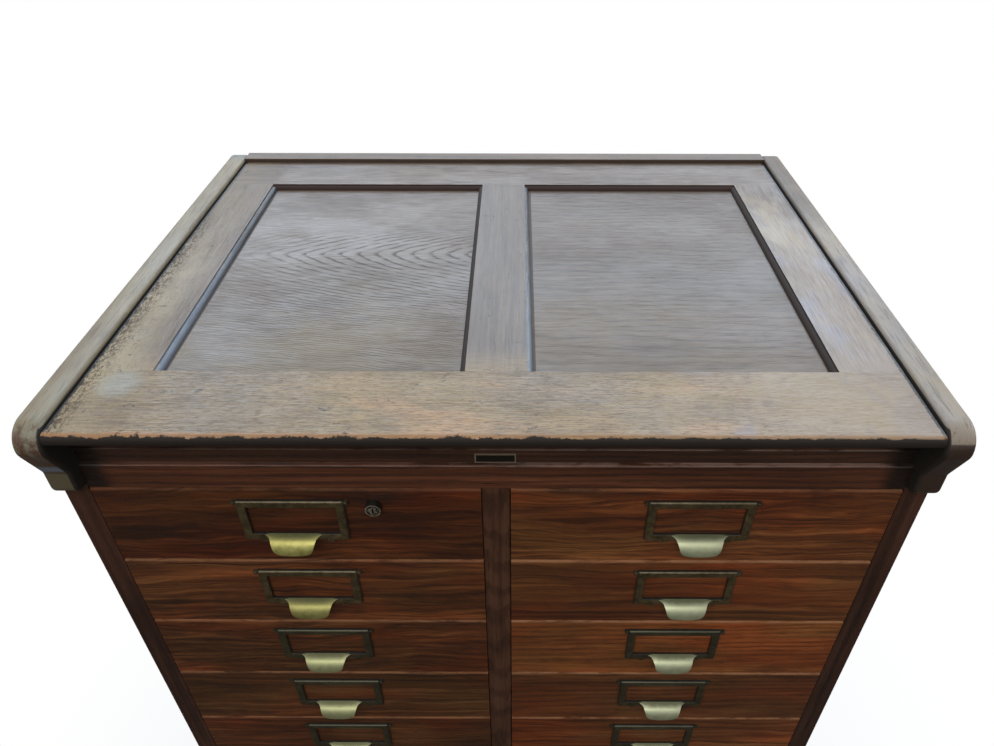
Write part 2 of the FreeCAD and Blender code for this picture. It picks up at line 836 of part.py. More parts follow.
def tongue(body, window_low):
    """The finger tongue: a sheet bent forward and down, trimmed to a tapering outline."""
    root_z = window_low - of("tongue_rise")
    gauge = of("tongue_gauge")
    face = -of("pull_stand")
    tip = -of("tongue_reach")
    slope = of("tongue_fall") / (face - tip)
    bend_z = root_z - of("tongue_fall")
    inner_z = root_z - gauge - slope * (face - tip - gauge)
    low = root_z - of("tongue_height")
    section = [
        (face, root_z),
        (tip, bend_z),
        (tip, low),
        (tip + gauge, low),
        (tip + gauge, inner_z),
        (face, root_z - gauge),
    ]
    root_half = of("tongue_root_width") / 2
    tip_half = of("tongue_tip_width") / 2
    corner = of("tongue_corner")
    pad(body, "tongue", "x", [section], -root_half, root_half)
    bend = of("tongue_bend_radius")
    fillet(body, "bend", bend, [(None, tip, bend_z)])
    fillet(body, "inner_bend", bend - gauge, [(None, tip + gauge, inner_z)])
    for word, side in (("left", -1), ("right", 1)):
        waste = [
            (side * root_half, root_z - gauge),
            (side * tip_half, low + corner),
            (side * (tip_half - corner), low),
            (side * (tip_half - corner), low - gauge),
            (side * (root_half + gauge), low - gauge),
            (side * (root_half + gauge), root_z - gauge),
        ]
        pocket(body, f"{word}_taper", "y", [waste], tip - gauge, face)


# Lock: a barrel through the front of the top left drawer and a plug that swings a cam.
# Drawn about the lock's axis, with the drawer's face at zero.

def turned(name, profile):
    """A round piece turned about the Y axis, from its profile of lengths along and out."""
    body = new_body(name)
    sketch = sketch_on(body, "profile", "x", size(0))
    draw(sketch, profile)
    doc.recompute()
    feature = body.newObject("PartDesign::Revolution", "turning")
    feature.Profile = sketch
    feature.ReferenceAxis = (sketch, ["H_Axis"])
    feature.Angle = 360.0
    doc.recompute()
    return body


def lock_case():
    face = -of("lock_stand")
    bore = of("plug_radius") + of("plug_clearance")
    end = of("drawer_front_thickness") + of("lock_overrun")
    radius = of("lock_radius")
    return turned("lock_barrel", [(face, bore), (end, bore), (end, radius), (face, radius)])


def lock_plug():
    face = -of("lock_stand")
    cam_low = of("front_thickness") + of("cam_clearance")
    radius = of("plug_radius")
    profile = [(face, 0), (cam_low, 0), (cam_low, radius), (face, radius)]
    body = turned("plug_and_cam", profile)
    half = of("cam_width") / 2
    arm = rectangle((-half, of("cam_length")), (-half, half))
    pad(body, "cam", "y", [arm], cam_low, cam_low + of("cam_thickness"))
    key_half = of("keyway_width") / 2
    key_tall = of("keyway_height") / 2
    slot = rectangle((-key_half, key_half), (-key_tall, key_tall))
    pocket(body, "keyway", "y", [slot], face, face + of("keyway_depth"))
    return body


# Drawers, pulls, runners and the lock in their places

def row_bottom(row):
    """The lower edge of the drawer front in a row, counted from the top."""
    return stack_bottom + (ROWS - row) * drawer_pitch


def runner(name, side, row):
    """One runner strip on the carcass beside a drawer."""
    centre = column_centre * side
    reach = of("drawer_side_gap") + of("runner_grip")
    start = runner_y + of("runner_end_clearance")
    deep = (start, back_inner_y - of("runner_back_gap"))
    middle = row_bottom(row) + side_middle
    half = of("runner_height") / 2
    strips = []
    for edge in (-1, 1):
        near, far = ordered(edge, column_width / 2 - reach, column_width / 2)
        across = (centre + near, centre + far)
        word = "outer" if edge == side else "inner"
        strips.append(block(f"{name}_{word}", across, deep, (middle - half, middle + half)))
    return strips


def drawers():
    plain_front = drawer_front("plain_front", False)
    locking_front = drawer_front("locking_front", True)
    box = drawer_box()
    stamping = pull()
    strips = []
    pull_z = of("drawer_front_height") - of("pull_drop") - of("pull_height") / 2
    for letter in COLUMNS:
        side = -1 if letter == "l" else 1
        for row in range(1, ROWS + 1):
            low = row_bottom(row)
            place = f"{letter}{row:02d}"
            locking = place == "l01"
            front = locking_front if locking else plain_front
            centre = column_centre * side
            node(f"drawer_{place}", [front] + box, centre, 0, low)
            node(f"pull_{place}", [stamping], centre, front_y, low + pull_z)
            strips += runner(f"runner_{place}", side, row)
    node("drawer_runners", strips)
    lock_x = of("lock_offset") - column_centre
    lock_z = row_bottom(1) + of("drawer_front_height") - of("lock_drop")
    node("lock_case", [lock_case()], lock_x, front_y, lock_z)
    node("lock_plug", [lock_plug()], lock_x, front_y, lock_z)


drawers()
doc.recompute()


def check():
    """Stop if any object failed or any sub-part is empty or broken."""
    failed = [item.Name for item in doc.Objects if {"Invalid", "Error"} & set(item.State)]
    if failed:
        raise ValueError(f"failed objects: {failed}")
    for item in nodes:
        if item.Shape.isNull() or not item.Shape.isValid():
            raise ValueError(f"{item.Label} has no sound shape")


check()
os.makedirs("parts", exist_ok=True)
for item in nodes:
    item.Shape.exportStep(f"parts/{item.Label}.step")
print(len(nodes), "sub-parts written")
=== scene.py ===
import math

import bmesh
import bpy
from mathutils import Matrix, Vector


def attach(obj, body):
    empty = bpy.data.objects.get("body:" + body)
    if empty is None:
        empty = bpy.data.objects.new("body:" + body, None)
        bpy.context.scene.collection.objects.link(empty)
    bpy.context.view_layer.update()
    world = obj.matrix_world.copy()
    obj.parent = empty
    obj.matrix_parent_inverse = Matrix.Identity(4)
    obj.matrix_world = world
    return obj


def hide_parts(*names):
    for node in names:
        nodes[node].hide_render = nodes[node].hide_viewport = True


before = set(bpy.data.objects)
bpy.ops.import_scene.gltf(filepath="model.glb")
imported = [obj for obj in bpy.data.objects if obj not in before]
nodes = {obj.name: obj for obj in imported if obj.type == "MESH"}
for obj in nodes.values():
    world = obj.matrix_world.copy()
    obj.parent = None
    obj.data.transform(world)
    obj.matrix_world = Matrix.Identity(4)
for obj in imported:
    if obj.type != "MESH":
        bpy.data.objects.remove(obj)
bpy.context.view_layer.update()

ROWS = 10
PITCH = 0.099
STACK_BOTTOM = 0.111
COLUMN_CENTRE = 0.18835
FRONT_Y = -0.272
PULL_RISE = 0.0581
LOCK_X, LOCK_Z = -0.11135, 1.078
PLATE_Z = 1.134
FRONT_RAIL_BACK, BACK_RAIL_FRONT = -0.211, 0.198
MUNTIN_OVOLO, STILE_OVOLO = (0.0276, 0.0332), (0.299, 0.3052)
CHEEK_INNER, CHEEK_OUTER = 0.3641, 0.3879


# Small helpers for node trees

class Tree:
    """A material's node tree, with one short call for each kind of node."""

    def __init__(self, name):
        self.material = bpy.data.materials.new(name)
        self.material.use_nodes = True
        self.tree = self.material.node_tree
        self.tree.nodes.clear()
        self.output = self.add("ShaderNodeOutputMaterial")
        self.place = self.add("ShaderNodeTexCoord").outputs["Object"]
        split = self.add("ShaderNodeSeparateXYZ")
        self.link(self.place, split.inputs[0])
        self.x, self.y, self.z = split.outputs

    def add(self, kind, **settings):
        made = self.tree.nodes.new(kind)
        for key, value in settings.items():
            setattr(made, key, value)
        return made

    def link(self, source, target):
        self.tree.links.new(source, target)

    def feed(self, socket, value):
        if isinstance(value, bpy.types.NodeSocket):
            self.link(value, socket)
        elif value is not None:
            socket.default_value = value

    def math(self, operation, a, b=None, c=None, clamp=False):
        made = self.add("ShaderNodeMath", operation=operation, use_clamp=clamp)
        for socket, value in zip(made.inputs, (a, b, c)):
            self.feed(socket, value)
        return made.outputs[0]

    def step(self, value, low, high):
        """0 at low, 1 at high, smooth between."""
        made = self.add("ShaderNodeMapRange", interpolation_type="SMOOTHSTEP")
        for socket, entry in zip(made.inputs, (value, low, high, 0.0, 1.0)):
            self.feed(socket, entry)
        return made.outputs[0]

    def both(self, value, *others):
        """The product of two or more masks."""
        for other in others:
            value = self.math("MULTIPLY", value, other)
        return value

    def either(self, a, b):
        return self.math("MAXIMUM", a, b)

    def less(self, a, b):
        return self.math("SUBTRACT", a, b)

    def rest(self, mask):
        return self.math("SUBTRACT", 1.0, mask)

    def absolute(self, value):
        return self.math("ABSOLUTE", value)

    def scaled(self, value, factor, offset):
        """The value times a factor, plus an offset."""
        return self.math("MULTIPLY_ADD", value, factor, offset)

    def inside(self, value, low, high, soft):
        """1 between low and high, 0 beyond."""
        return self.both(self.step(value, low - soft, low + soft),
                         self.step(value, high + soft, high - soft))

    def near(self, spot, reach):
        """1 at a spot, falling to 0 at its reach on each axis."""
        shift = [self.math("DIVIDE", self.less(axis, at), size)
                 for axis, at, size in zip((self.x, self.y, self.z), spot, reach)]
        made = self.add("ShaderNodeVectorMath", operation="LENGTH")
        self.feed(made.inputs[0], self.vector(*shift))
        return self.step(made.outputs["Value"], 1.0, 0.3)

    def vector(self, x, y, z):
        made = self.add("ShaderNodeCombineXYZ")
        for socket, value in zip(made.inputs, (x, y, z)):
            self.feed(socket, value)
        return made.outputs[0]

    def stretch(self, source, scale, move=(0, 0, 0)):
        made = self.add("ShaderNodeMapping")
        self.feed(made.inputs["Vector"], source)
        self.feed(made.inputs["Scale"], scale)
        self.feed(made.inputs["Location"], move)
        return made.outputs[0]

    def noise(self, source, scale, detail=4.0, rough=0.55, warp=0.0):
        made = self.add("ShaderNodeTexNoise")
        self.feed(made.inputs["Vector"], source)
        for key, value in (("Scale", scale), ("Detail", detail), ("Roughness", rough),
                           ("Distortion", warp)):
            self.feed(made.inputs[key], value)
        return made.outputs["Fac"]

    def spots(self, scale, detail, rough, move=(0, 0, 0), source=None):
        """Noise with its own scale on each axis."""
        place = self.place if source is None else source
        return self.noise(self.stretch(place, scale, move), 1.0, detail, rough)

    def chance(self, source):
        made = self.add("ShaderNodeTexWhiteNoise", noise_dimensions="3D")
        self.feed(made.inputs["Vector"], source)
        return made.outputs["Value"]

    def ramp(self, value, stops):
        made = self.add("ShaderNodeValToRGB")
        self.feed(made.inputs[0], value)
        band = made.color_ramp
        while len(band.elements) < len(stops):
            band.elements.new(0.5)
        for element, (place, colour) in zip(band.elements, stops):
            element.position = place
            element.color = (*colour, 1.0)
        return made.outputs[0]

    def mix(self, factor, a, b, blend="MIX"):
        made = self.add("ShaderNodeMix", data_type="RGBA", blend_type=blend)
        self.feed(made.inputs[0], factor)
        for socket, value in ((made.inputs[6], a), (made.inputs[7], b)):
            self.feed(socket, (*value, 1.0) if isinstance(value, tuple) else value)
        return made.outputs[2]

    def paint(self, colour, tone, mask, share):
        """Lay a tone over the colour where the mask is, as strongly as the share says."""
        return self.mix(self.both(mask, share), colour, tone)

    def layers(self, colour, *layers):
        """Paint each tone with its mask and share, one over the other."""
        for layer in layers:
            colour = self.paint(colour, *layer)
        return colour

    def tint(self, colour, factors, mask=None):
        """Multiply the colour by the factors, everywhere or where the mask is."""
        tinted = self.mix(1.0, colour, factors, "MULTIPLY")
        return tinted if mask is None else self.mix(mask, colour, tinted)

    def bump(self, height, depth, strength=1.0):
        made = self.add("ShaderNodeBump")
        self.feed(made.inputs["Height"], height)
        made.inputs["Strength"].default_value = strength
        made.inputs["Distance"].default_value = depth
        return made.outputs[0]

    def finish(self, colour, rough, normal=None, metal=0.0, coat=0.0, coat_rough=0.2, specular=0.5):
        shader = self.add("ShaderNodeBsdfPrincipled")
        self.feed(shader.inputs["Base Color"],
                  (*colour, 1.0) if isinstance(colour, tuple) else colour)
        for key, value in (("Roughness", rough), ("Metallic", metal), ("Coat Weight", coat),
                           ("Coat Roughness", coat_rough), ("Specular IOR Level", specular)):
            self.feed(shader.inputs[key], value)
        if normal is not None:
            self.link(normal, shader.inputs["Normal"])
        self.link(shader.outputs[0], self.output.inputs["Surface"])
        return self.material

    def wood(self, colour, rough, height, coat, specular, coat_rough=0.25):
        """Finish with open grain under a coat of wax."""
        normal = self.bump(height, 0.0003, 0.6)
        return self.finish(colour, rough, normal, 0.0, coat, coat_rough, specular)


# Oak: growth rings cut at a slant, fine fibres and open pores along the grain

def rings(tree, along, across, depth, slant, spacing, warp):
    """The board's figure, 0 to 1 over each ring: slanted rings show as pointed arches."""
    wobble_place = tree.stretch(tree.vector(along, across, depth), (5.0, 26.0, 26.0))
    wobble = tree.less(tree.noise(wobble_place, 1.0, 3.0, 0.6), 0.5)
    lean = tree.scaled(along, slant, depth)
    made = tree.add("ShaderNodeVectorMath", operation="LENGTH")
    tree.feed(made.inputs[0], tree.vector(across, lean, 0.0))
    radius = tree.scaled(wobble, warp, made.outputs["Value"])
    return tree.math("FRACT", tree.math("DIVIDE", radius, spacing))


def oak(tree, along, across, depth, tones, figure=0.5, slant=0.12, spacing=0.006, warp=0.02,
        heart=(0.0, 0.03), grainy=1.0, fineness=1.0):
    """Colour and height; tones: pore, dark, middle, light; heart: the rings' middle."""
    pore, dark, middle, light = tones
    place = tree.vector(along, across, depth)
    tone = tree.noise(tree.stretch(place, (2.2, 11.0, 11.0)), 1.0, 3.0, 0.6, 0.3)
    off_across = tree.math("ADD", across, heart[0])
    off_depth = tree.math("ADD", depth, heart[1])
    ring = rings(tree, along, off_across, off_depth, slant, spacing, warp)
    fibre = tree.spots((9.0, 520.0, 520.0), 2.0, 0.6, source=place)
    streak = tree.noise(tree.stretch(place, (2.6 * fineness, 130.0 * fineness, 130.0 * fineness)),
                        1.0, 5.0, 0.7, 0.2)
    pores = tree.spots((55.0, 1500.0, 1500.0), 1.0, 0.5, source=place)
    early = tree.both(tree.step(ring, 0.0, 0.12), tree.step(ring, 0.62, 0.3))
    blend = tree.scaled(tree.less(tone, 0.5), 1.1, 0.5)
    fine = tree.scaled(tree.less(fibre, 0.5), 0.5,
                       tree.math("MULTIPLY", tree.less(streak, 0.5), 1.2))
    blend = tree.scaled(fine, grainy, blend)
    blend = tree.scaled(early, -0.34 * figure, blend)
    colour = tree.ramp(blend, [(0.12, dark), (0.48, middle), (0.86, light)])
    open_grain = tree.scaled(early, 0.7 * figure, 0.3)
    mask = tree.both(tree.step(pores, 0.52, 0.66), open_grain)
    colour = tree.mix(mask, colour, pore)
    height = tree.less(tree.both(fibre, 0.4), mask)
    return colour, height


def arches(tree, x, y):
    """Thin lines of pointed arches that run towards -X, closer together away from their middle."""
    sway = tree.less(tree.spots((9.0, 22.0, 1.0), 3.0, 0.6), 0.5)
    off = tree.scaled(sway, 0.016, tree.less(y, 0.017))
    square = tree.both(off, off)
    blunt = tree.math("SQRT", tree.math("ADD", square, 0.000016))
    order = tree.scaled(square, 690.0, tree.both(blunt, 62.0))
    order = tree.less(order, tree.math("DIVIDE", x, 0.0205))
    line = tree.math("FRACT", order)
    line = tree.both(tree.step(line, 0.0, 0.1), tree.step(line, 0.46, 0.14))
    broken = tree.spots((14.0, 160.0, 1.0), 3.0, 0.65)
    line = tree.both(line, tree.step(broken, 0.3, 0.58))
    fade = tree.scaled(tree.step(y, 0.085, 0.05), 0.85, 0.15)
    return tree.both(line, tree.both(fade, tree.scaled(tree.step(x, -0.3, -0.2), 0.6, 0.4)))


STAIN = ((0.018, 0.008, 0.005), (0.04, 0.014, 0.007), (0.105, 0.036, 0.013), (0.21, 0.082, 0.031))
FRAME_STAIN = ((0.012, 0.006, 0.004), (0.027, 0.012, 0.008), (0.068, 0.029, 0.016),
               (0.13, 0.06, 0.034))
TOP_STAIN = ((0.03, 0.016, 0.01), (0.062, 0.038, 0.024), (0.105, 0.066, 0.04), (0.15, 0.098, 0.06))
RAW = ((0.16, 0.09, 0.045), (0.27, 0.17, 0.085), (0.36, 0.24, 0.13), (0.44, 0.31, 0.18))
WORN_EDGE_AND_HIGHLIGHT = (0.34, 0.16, 0.078)

# Drawers and rails
RIGHT_TINT = (1.66, 1.55, 1.36)
BRIGHT_TINT = (1.7, 1.5, 1.35)
OUTSIDE_TINT = (0.66, 0.62, 0.68)
RAIL_TINT = (1.4, 1.12, 0.95)
GLOOM = (0.02, 0.01, 0.007)
THIN_STREAK = (0.022, 0.009, 0.006)
UPSTAND_SHADE = (0.03, 0.017, 0.012)
FRIEZE_SHADE = (0.018, 0.009, 0.007)
LEDGE_AND_BEAD_HIGHLIGHT = (0.34, 0.24, 0.2)
CHEEK_SHADOW_ON_ENDS = (0.006, 0.004, 0.003)

# The framed top
FLECK = (0.062, 0.042, 0.028)
PATINA_TAN = (0.33, 0.235, 0.12)
PATINA_LILAC = (0.195, 0.175, 0.215)
WORN_TAN = (0.41, 0.285, 0.13)
ORANGE_SPOT = (0.52, 0.27, 0.12)
RAIL_DASH = (0.1, 0.056, 0.028)
STILE_TAN = (0.215, 0.155, 0.075)
STILE_FRONT = (0.37, 0.285, 0.16)
RIGHT_PALE = (0.235, 0.18, 0.14)
RIGHT_STILE = (0.275, 0.205, 0.15)
PEPPER = (0.085, 0.06, 0.034)
DIRT = (0.048, 0.031, 0.019)
SEAM_SHADOW = (0.012, 0.009, 0.008)
NOSE_BARE = (0.33, 0.165, 0.07)
NOSE_UNDER_SHADE = (0.005, 0.003, 0.002)
OVOLO_SHADE = (0.02, 0.011, 0.008)
OVOLO_LIT = (0.16, 0.19, 0.24)
OVOLO_BACK_SHADE = (0.026, 0.012, 0.009)
FADED_SPOT = (0.27, 0.3, 0.29)
ARCH_LINE = (0.03, 0.022, 0.018)
OLIVE = (0.185, 0.13, 0.05)
CREASE_SHADE = (0.028, 0.016, 0.01)

# The cheeks
CHEEK_TAN = (0.265, 0.21, 0.12)
CHEEK_COOL = (0.19, 0.215, 0.19)
CHEEK_BACK = (0.11, 0.14, 0.14)
CHEEK_ASHEN_SHEEN = (0.32, 0.272, 0.222)
CHEEK_PALE = (0.37, 0.285, 0.195)
CHEEK_LOW_RIGHT = (0.032, 0.018, 0.013)
CHEEK_STROKE = (0.085, 0.065, 0.04)
CHEEK_LOW_LEFT = (0.06, 0.04, 0.024)
CHEEK_RUBBED = (0.085, 0.038, 0.018)
CHEEK_BARE = (0.3, 0.15, 0.07)
CHEEK_SLANT_HIGHLIGHT = (0.2, 0.25, 0.33)
CHEEK_FOOT = (0.12, 0.105, 0.06)
CHEEK_INSIDE_SHADE = (0.012, 0.009, 0.006)
CHEEK_SIDE = (0.056, 0.031, 0.02)

# Metal
GREEN_FRAME = (0.036, 0.042, 0.03)
DULL_TONGUE = (0.12, 0.115, 0.045)
SILVER_RIGHT = (0.36, 0.41, 0.32)
SILVER_LOW = (0.27, 0.31, 0.21)
TONGUE_ROOT_DARK_REFLECTION = (0.06, 0.062, 0.028)
LOCK_RIM_GLINTS = (0.56, 0.5, 0.4)
LOCK_FACE = (0.62, 0.57, 0.46)
KEYHOLE_SHADE = (0.004, 0.003, 0.002)
PLATE_FACE = (0.03, 0.026, 0.02)
PLATE_EDGE = (0.42, 0.36, 0.26)


def front_material():
    """Drawers, no two alike: stained face, plain wood behind it, worn upper edge with a painted
    highlight.
    """
    tree = Tree("drawer_oak")
    row = tree.math("FLOOR", tree.math("DIVIDE", tree.less(tree.z, STACK_BOTTOM), PITCH))
    column = tree.math("SIGN", tree.x)
    pick = tree.chance(tree.vector(row, column, 0.37))
    other = tree.chance(tree.vector(row, column, 4.41))
    centred = tree.less(other, 0.5)
    height_in_row = tree.less(tree.less(tree.z, STACK_BOTTOM), tree.both(row, PITCH))
    across = tree.less(height_in_row, tree.scaled(centred, 0.12, 0.048))
    run = tree.scaled(pick, 5.0, tree.x)
    lean = tree.both(tree.less(tree.x, tree.both(column, COLUMN_CENTRE)), centred)
    deep = tree.scaled(lean, 0.1, tree.less(tree.y, FRONT_Y))
    deep = tree.scaled(pick, 0.05, deep)
    right = tree.step(tree.x, -0.01, 0.01)
    left = tree.rest(right)
    sway = tree.spots((9.0, 26.0, 1.0), 2.0, 0.5, source=tree.vector(run, across, pick))
    bend = tree.scaled(other, 0.02, 0.01)
    across = tree.scaled(tree.less(sway, 0.5), bend, across)
    colour, height = oak(tree, run, across, deep, STAIN, 0.42, 0.0, 0.0066, 0.01, (0.0, 0.028),
                         tree.scaled(other, 0.8, 0.55), 1.3)
    shade = tree.ramp(pick, [(0.0, (0.86, 0.83, 0.86)), (0.5, (1.0, 1.0, 1.0)),
                             (1.0, (1.16, 1.12, 1.06))])
    colour = tree.tint(colour, shade)
    redder = tree.both(right, tree.scaled(tree.step(row, 9.0, 7.0), 0.45, 0.55))
    colour = tree.tint(colour, RIGHT_TINT, redder)
    for side, number, factor in ((left, 9, (0.88, 0.76, 0.72)), (left, 8, (1.02, 1.04, 1.04)),
                                 (left, 6, (0.92, 1.0, 0.98)), (right, 7, (1.32, 1.34, 1.22)),
                                 (right, 6, (0.74, 0.82, 0.92))):
        single = tree.both(side, tree.math("COMPARE", row, float(number), 0.4))
        colour = tree.tint(colour, factor, single)
    patches = tree.spots((8.0, 30.0, 30.0), 4.0, 0.65, source=tree.vector(run, across, deep))
    hue = tree.spots((6.0, 16.0, 16.0), 2.0, 0.5, (3.1, 1.7, 0.4),
                     source=tree.vector(run, across, deep))
    hue = tree.ramp(hue, [(0.36, (1.14, 0.9, 0.83)), (0.5, (1.0, 1.0, 1.0)),
                          (0.64, (0.9, 1.03, 1.0))])
    colour = tree.tint(colour, hue)
    gloomy = tree.both(tree.step(patches, 0.5, 0.68), tree.scaled(left, 0.34, 0.34))
    colour = tree.mix(gloomy, colour, GLOOM)
    bright = tree.both(tree.step(patches, 0.46, 0.3), 0.55)
    colour = tree.tint(colour, BRIGHT_TINT, bright)
    # Worn bare wood along the upper edge of each face, also a painted highlight where it catches
    # the light, stronger on the right.
    edge_noise = tree.spots((34.0, 160.0, 160.0), 4.0, 0.7)
    edge = tree.both(tree.step(height_in_row, 0.0928, 0.0955), tree.step(edge_noise, 0.28, 0.6))
    edge = tree.both(edge, tree.scaled(tree.step(row, 9.0, 8.0), 0.45, 0.2))
    edge = tree.math("MULTIPLY_ADD", tree.both(edge, right), 0.55, tree.both(edge, 0.85),
                     clamp=True)
    colour = tree.mix(edge, colour, WORN_EDGE_AND_HIGHLIGHT)
    thin = tree.spots((3.0, 330.0, 40.0), 3.0, 0.6, source=tree.vector(run, across, deep))
    thin = tree.both(tree.step(thin, 0.56, 0.68), tree.scaled(other, 0.5, 0.3))
    colour = tree.mix(thin, colour, THIN_STREAK)
    plain, _ = oak(tree, tree.y, tree.x, tree.z, RAW, 0.5, 0.05, 0.009, 0.02, (0.3, 0.2))
    face = tree.step(tree.y, FRONT_Y + 0.0198, FRONT_Y + 0.019)
    colour = tree.mix(face, plain, colour)
    normal = tree.bump(height, 0.0003, 0.6)
    dull = tree.step(height_in_row, 0.0935, 0.095)
    return tree.finish(colour, tree.scaled(dull, 0.46, 0.44), normal, specular=0.26)


def turned_axes(tree, axis):
    """The three places in the order along, across and through the board."""
    return {"x": (tree.x, tree.z, tree.y), "xt": (tree.x, tree.y, tree.z),
            "y": (tree.y, tree.x, tree.z), "z": (tree.z, tree.x, tree.y)}[axis]


def darker_outside(tree, colour):
    outside = tree.step(tree.absolute(tree.x), 0.345, 0.352)
    return tree.tint(colour, OUTSIDE_TINT, outside)


def carcass_material(name, axis, tones=FRAME_STAIN, figure=0.5, rough=0.42, coat=0.05,
                     **ring_facts):
    """Plain boards, darker at the sides of the carcass."""
    tree = Tree(name)
    colour, height = oak(tree, *turned_axes(tree, axis), tones, figure, **ring_facts)
    colour = darker_outside(tree, colour)
    return tree.wood(colour, rough, height, coat, 0.32)


def framed_material(name, on_back, edges, rails):
    """A frame and its panels: the rails' grain lies down, each upright board has its own."""
    tree = Tree(name)
    wide, deep = (tree.x, tree.y) if on_back else (tree.y, tree.x)
    board = 0.0
    for edge in edges:
        board = tree.math("ADD", tree.math("GREATER_THAN", wide, edge), board)
    moved = tree.scaled(board, 0.37, wide)
    upright, high_a = oak(tree, tree.scaled(board, 0.9, tree.z), moved, deep, FRAME_STAIN, 0.45,
                          0.03, 0.009, 0.02, (1.3, 0.2))
    lying, high_b = oak(tree, wide, tree.z, deep, FRAME_STAIN, 0.45, 0.03, 0.009, 0.02, (1.7, 0.2))
    level = 0.0
    for low, high in rails:
        level = tree.either(tree.inside(tree.z, low, high, 0.0003), level)
    level = tree.both(level, tree.inside(wide, edges[0], edges[-1], 0.0003))
    colour = tree.mix(level, upright, lying)
    height = tree.math("ADD", tree.both(level, high_b), tree.both(tree.rest(level), high_a))
    if not on_back:
        colour = darker_outside(tree, colour)
    return tree.wood(colour, 0.42, height, 0.05, 0.32)


def upstand_material():
    """The strip behind the top: pale on top, dark where it meets the back rail."""
    tree = Tree("upstand_oak")
    colour, height = oak(tree, *turned_axes(tree, "x"), TOP_STAIN, 0.4, spacing=0.01,
                         heart=(0.4, 0.3))
    low = tree.both(tree.step(tree.z, 1.189, 1.1882), tree.step(tree.y, 0.29, 0.288))
    colour = tree.paint(colour, UPSTAND_SHADE, low, 0.85)
    return tree.wood(colour, 0.4, height, 0.15, 0.4)


def rail_material():
    """Frieze and rails: dark, with painted highlight lines on the ledge over the upper rail and on
    a bead.
    """
    tree = Tree("cross_oak")
    colour, height = oak(tree, *turned_axes(tree, "x"), FRAME_STAIN, 0.6, 0.02, 0.008, 0.02,
                         (0.3, 0.05))
    warm = tree.inside(tree.z, 1.1, 1.1285, 0.0004)
    colour = tree.tint(colour, RAIL_TINT, warm)
    dim = tree.step(tree.z, 1.1284, 1.1288)
    # Painted highlight lines where the ledge and the bead catch the light, stronger to the right
    # and broken up by noise.
    rightward = tree.step(tree.x, -0.15, 0.2)
    on_ledge = tree.inside(tree.z, 1.1277, 1.1287, 0.0002)
    ledge = tree.both(on_ledge, tree.scaled(rightward, 0.45, 0.1))
    bead = tree.both(tree.inside(tree.z, 1.1448, 1.1464, 0.0003),
                     tree.step(tree.y, -0.2682, -0.269))
    bead = tree.both(bead, tree.scaled(rightward, 0.4, 0.18))
    highlight_breaks = tree.step(tree.spots((30.0, 90.0, 90.0), 3.0, 0.6), 0.32, 0.55)
    # Painted shadow of the cheeks on the ends of the frieze and the rail below it.
    shadowed_ends = tree.both(tree.step(tree.absolute(tree.x), 0.334, 0.352),
                     tree.step(tree.z, 1.098, 1.102))
    rough = tree.scaled(tree.both(on_ledge, tree.rest(rightward)), 0.45, 0.44)
    colour = tree.layers(colour, (FRIEZE_SHADE, dim, 0.35),
                         (LEDGE_AND_BEAD_HIGHLIGHT, tree.either(ledge, bead), highlight_breaks), (CHEEK_SHADOW_ON_ENDS, shadowed_ends, 0.92))
    return tree.wood(colour, rough, height, 0.03, 0.28)


def sheen(tree, along, across):
    """How much wax lies on the wood: in fine streaks along the grain."""
    streaks = tree.noise(tree.vector(tree.both(along, 30.0), tree.both(across, 700.0), 0.0), 1.0,
                         4.0, 0.7)
    cloud = tree.noise(tree.vector(tree.both(along, 5.0), tree.both(across, 9.0), 0.0), 1.0, 4.0,
                       0.65)
    blend = tree.scaled(tree.less(cloud, 0.5), 0.8, streaks)
    return tree.both(tree.step(blend, 0.3, 0.7), 0.8)


def flecks(tree, colour, along, across, share):
    """Short fine dark dashes of open grain."""
    dashes = tree.noise(tree.vector(tree.both(along, 90.0), tree.both(across, 760.0), 0.0), 1.0,
                        3.0, 0.7)
    return tree.paint(colour, FLECK, tree.step(dashes, 0.5, 0.64), share)


def patina(tree, colour, share):
    """Clouds of tan and lilac in pale wood."""
    clouds = tree.spots((12.0, 7.0, 12.0), 4.0, 0.65, (2.0, 5.0, 0.0))
    colour = tree.paint(colour, PATINA_TAN, tree.step(clouds, 0.5, 0.6), share)
    return tree.paint(colour, PATINA_LILAC, tree.step(clouds, 0.46, 0.36), share)


def ovolos(tree, side):
    """The mouldings that face left (side 1) or right (side -1)."""
    turned = tree.both(tree.x, side)
    on_muntin = tree.inside(turned, -MUNTIN_OVOLO[1], -MUNTIN_OVOLO[0], 0.0001)
    return tree.either(on_muntin, tree.inside(turned, *STILE_OVOLO, 0.0001))


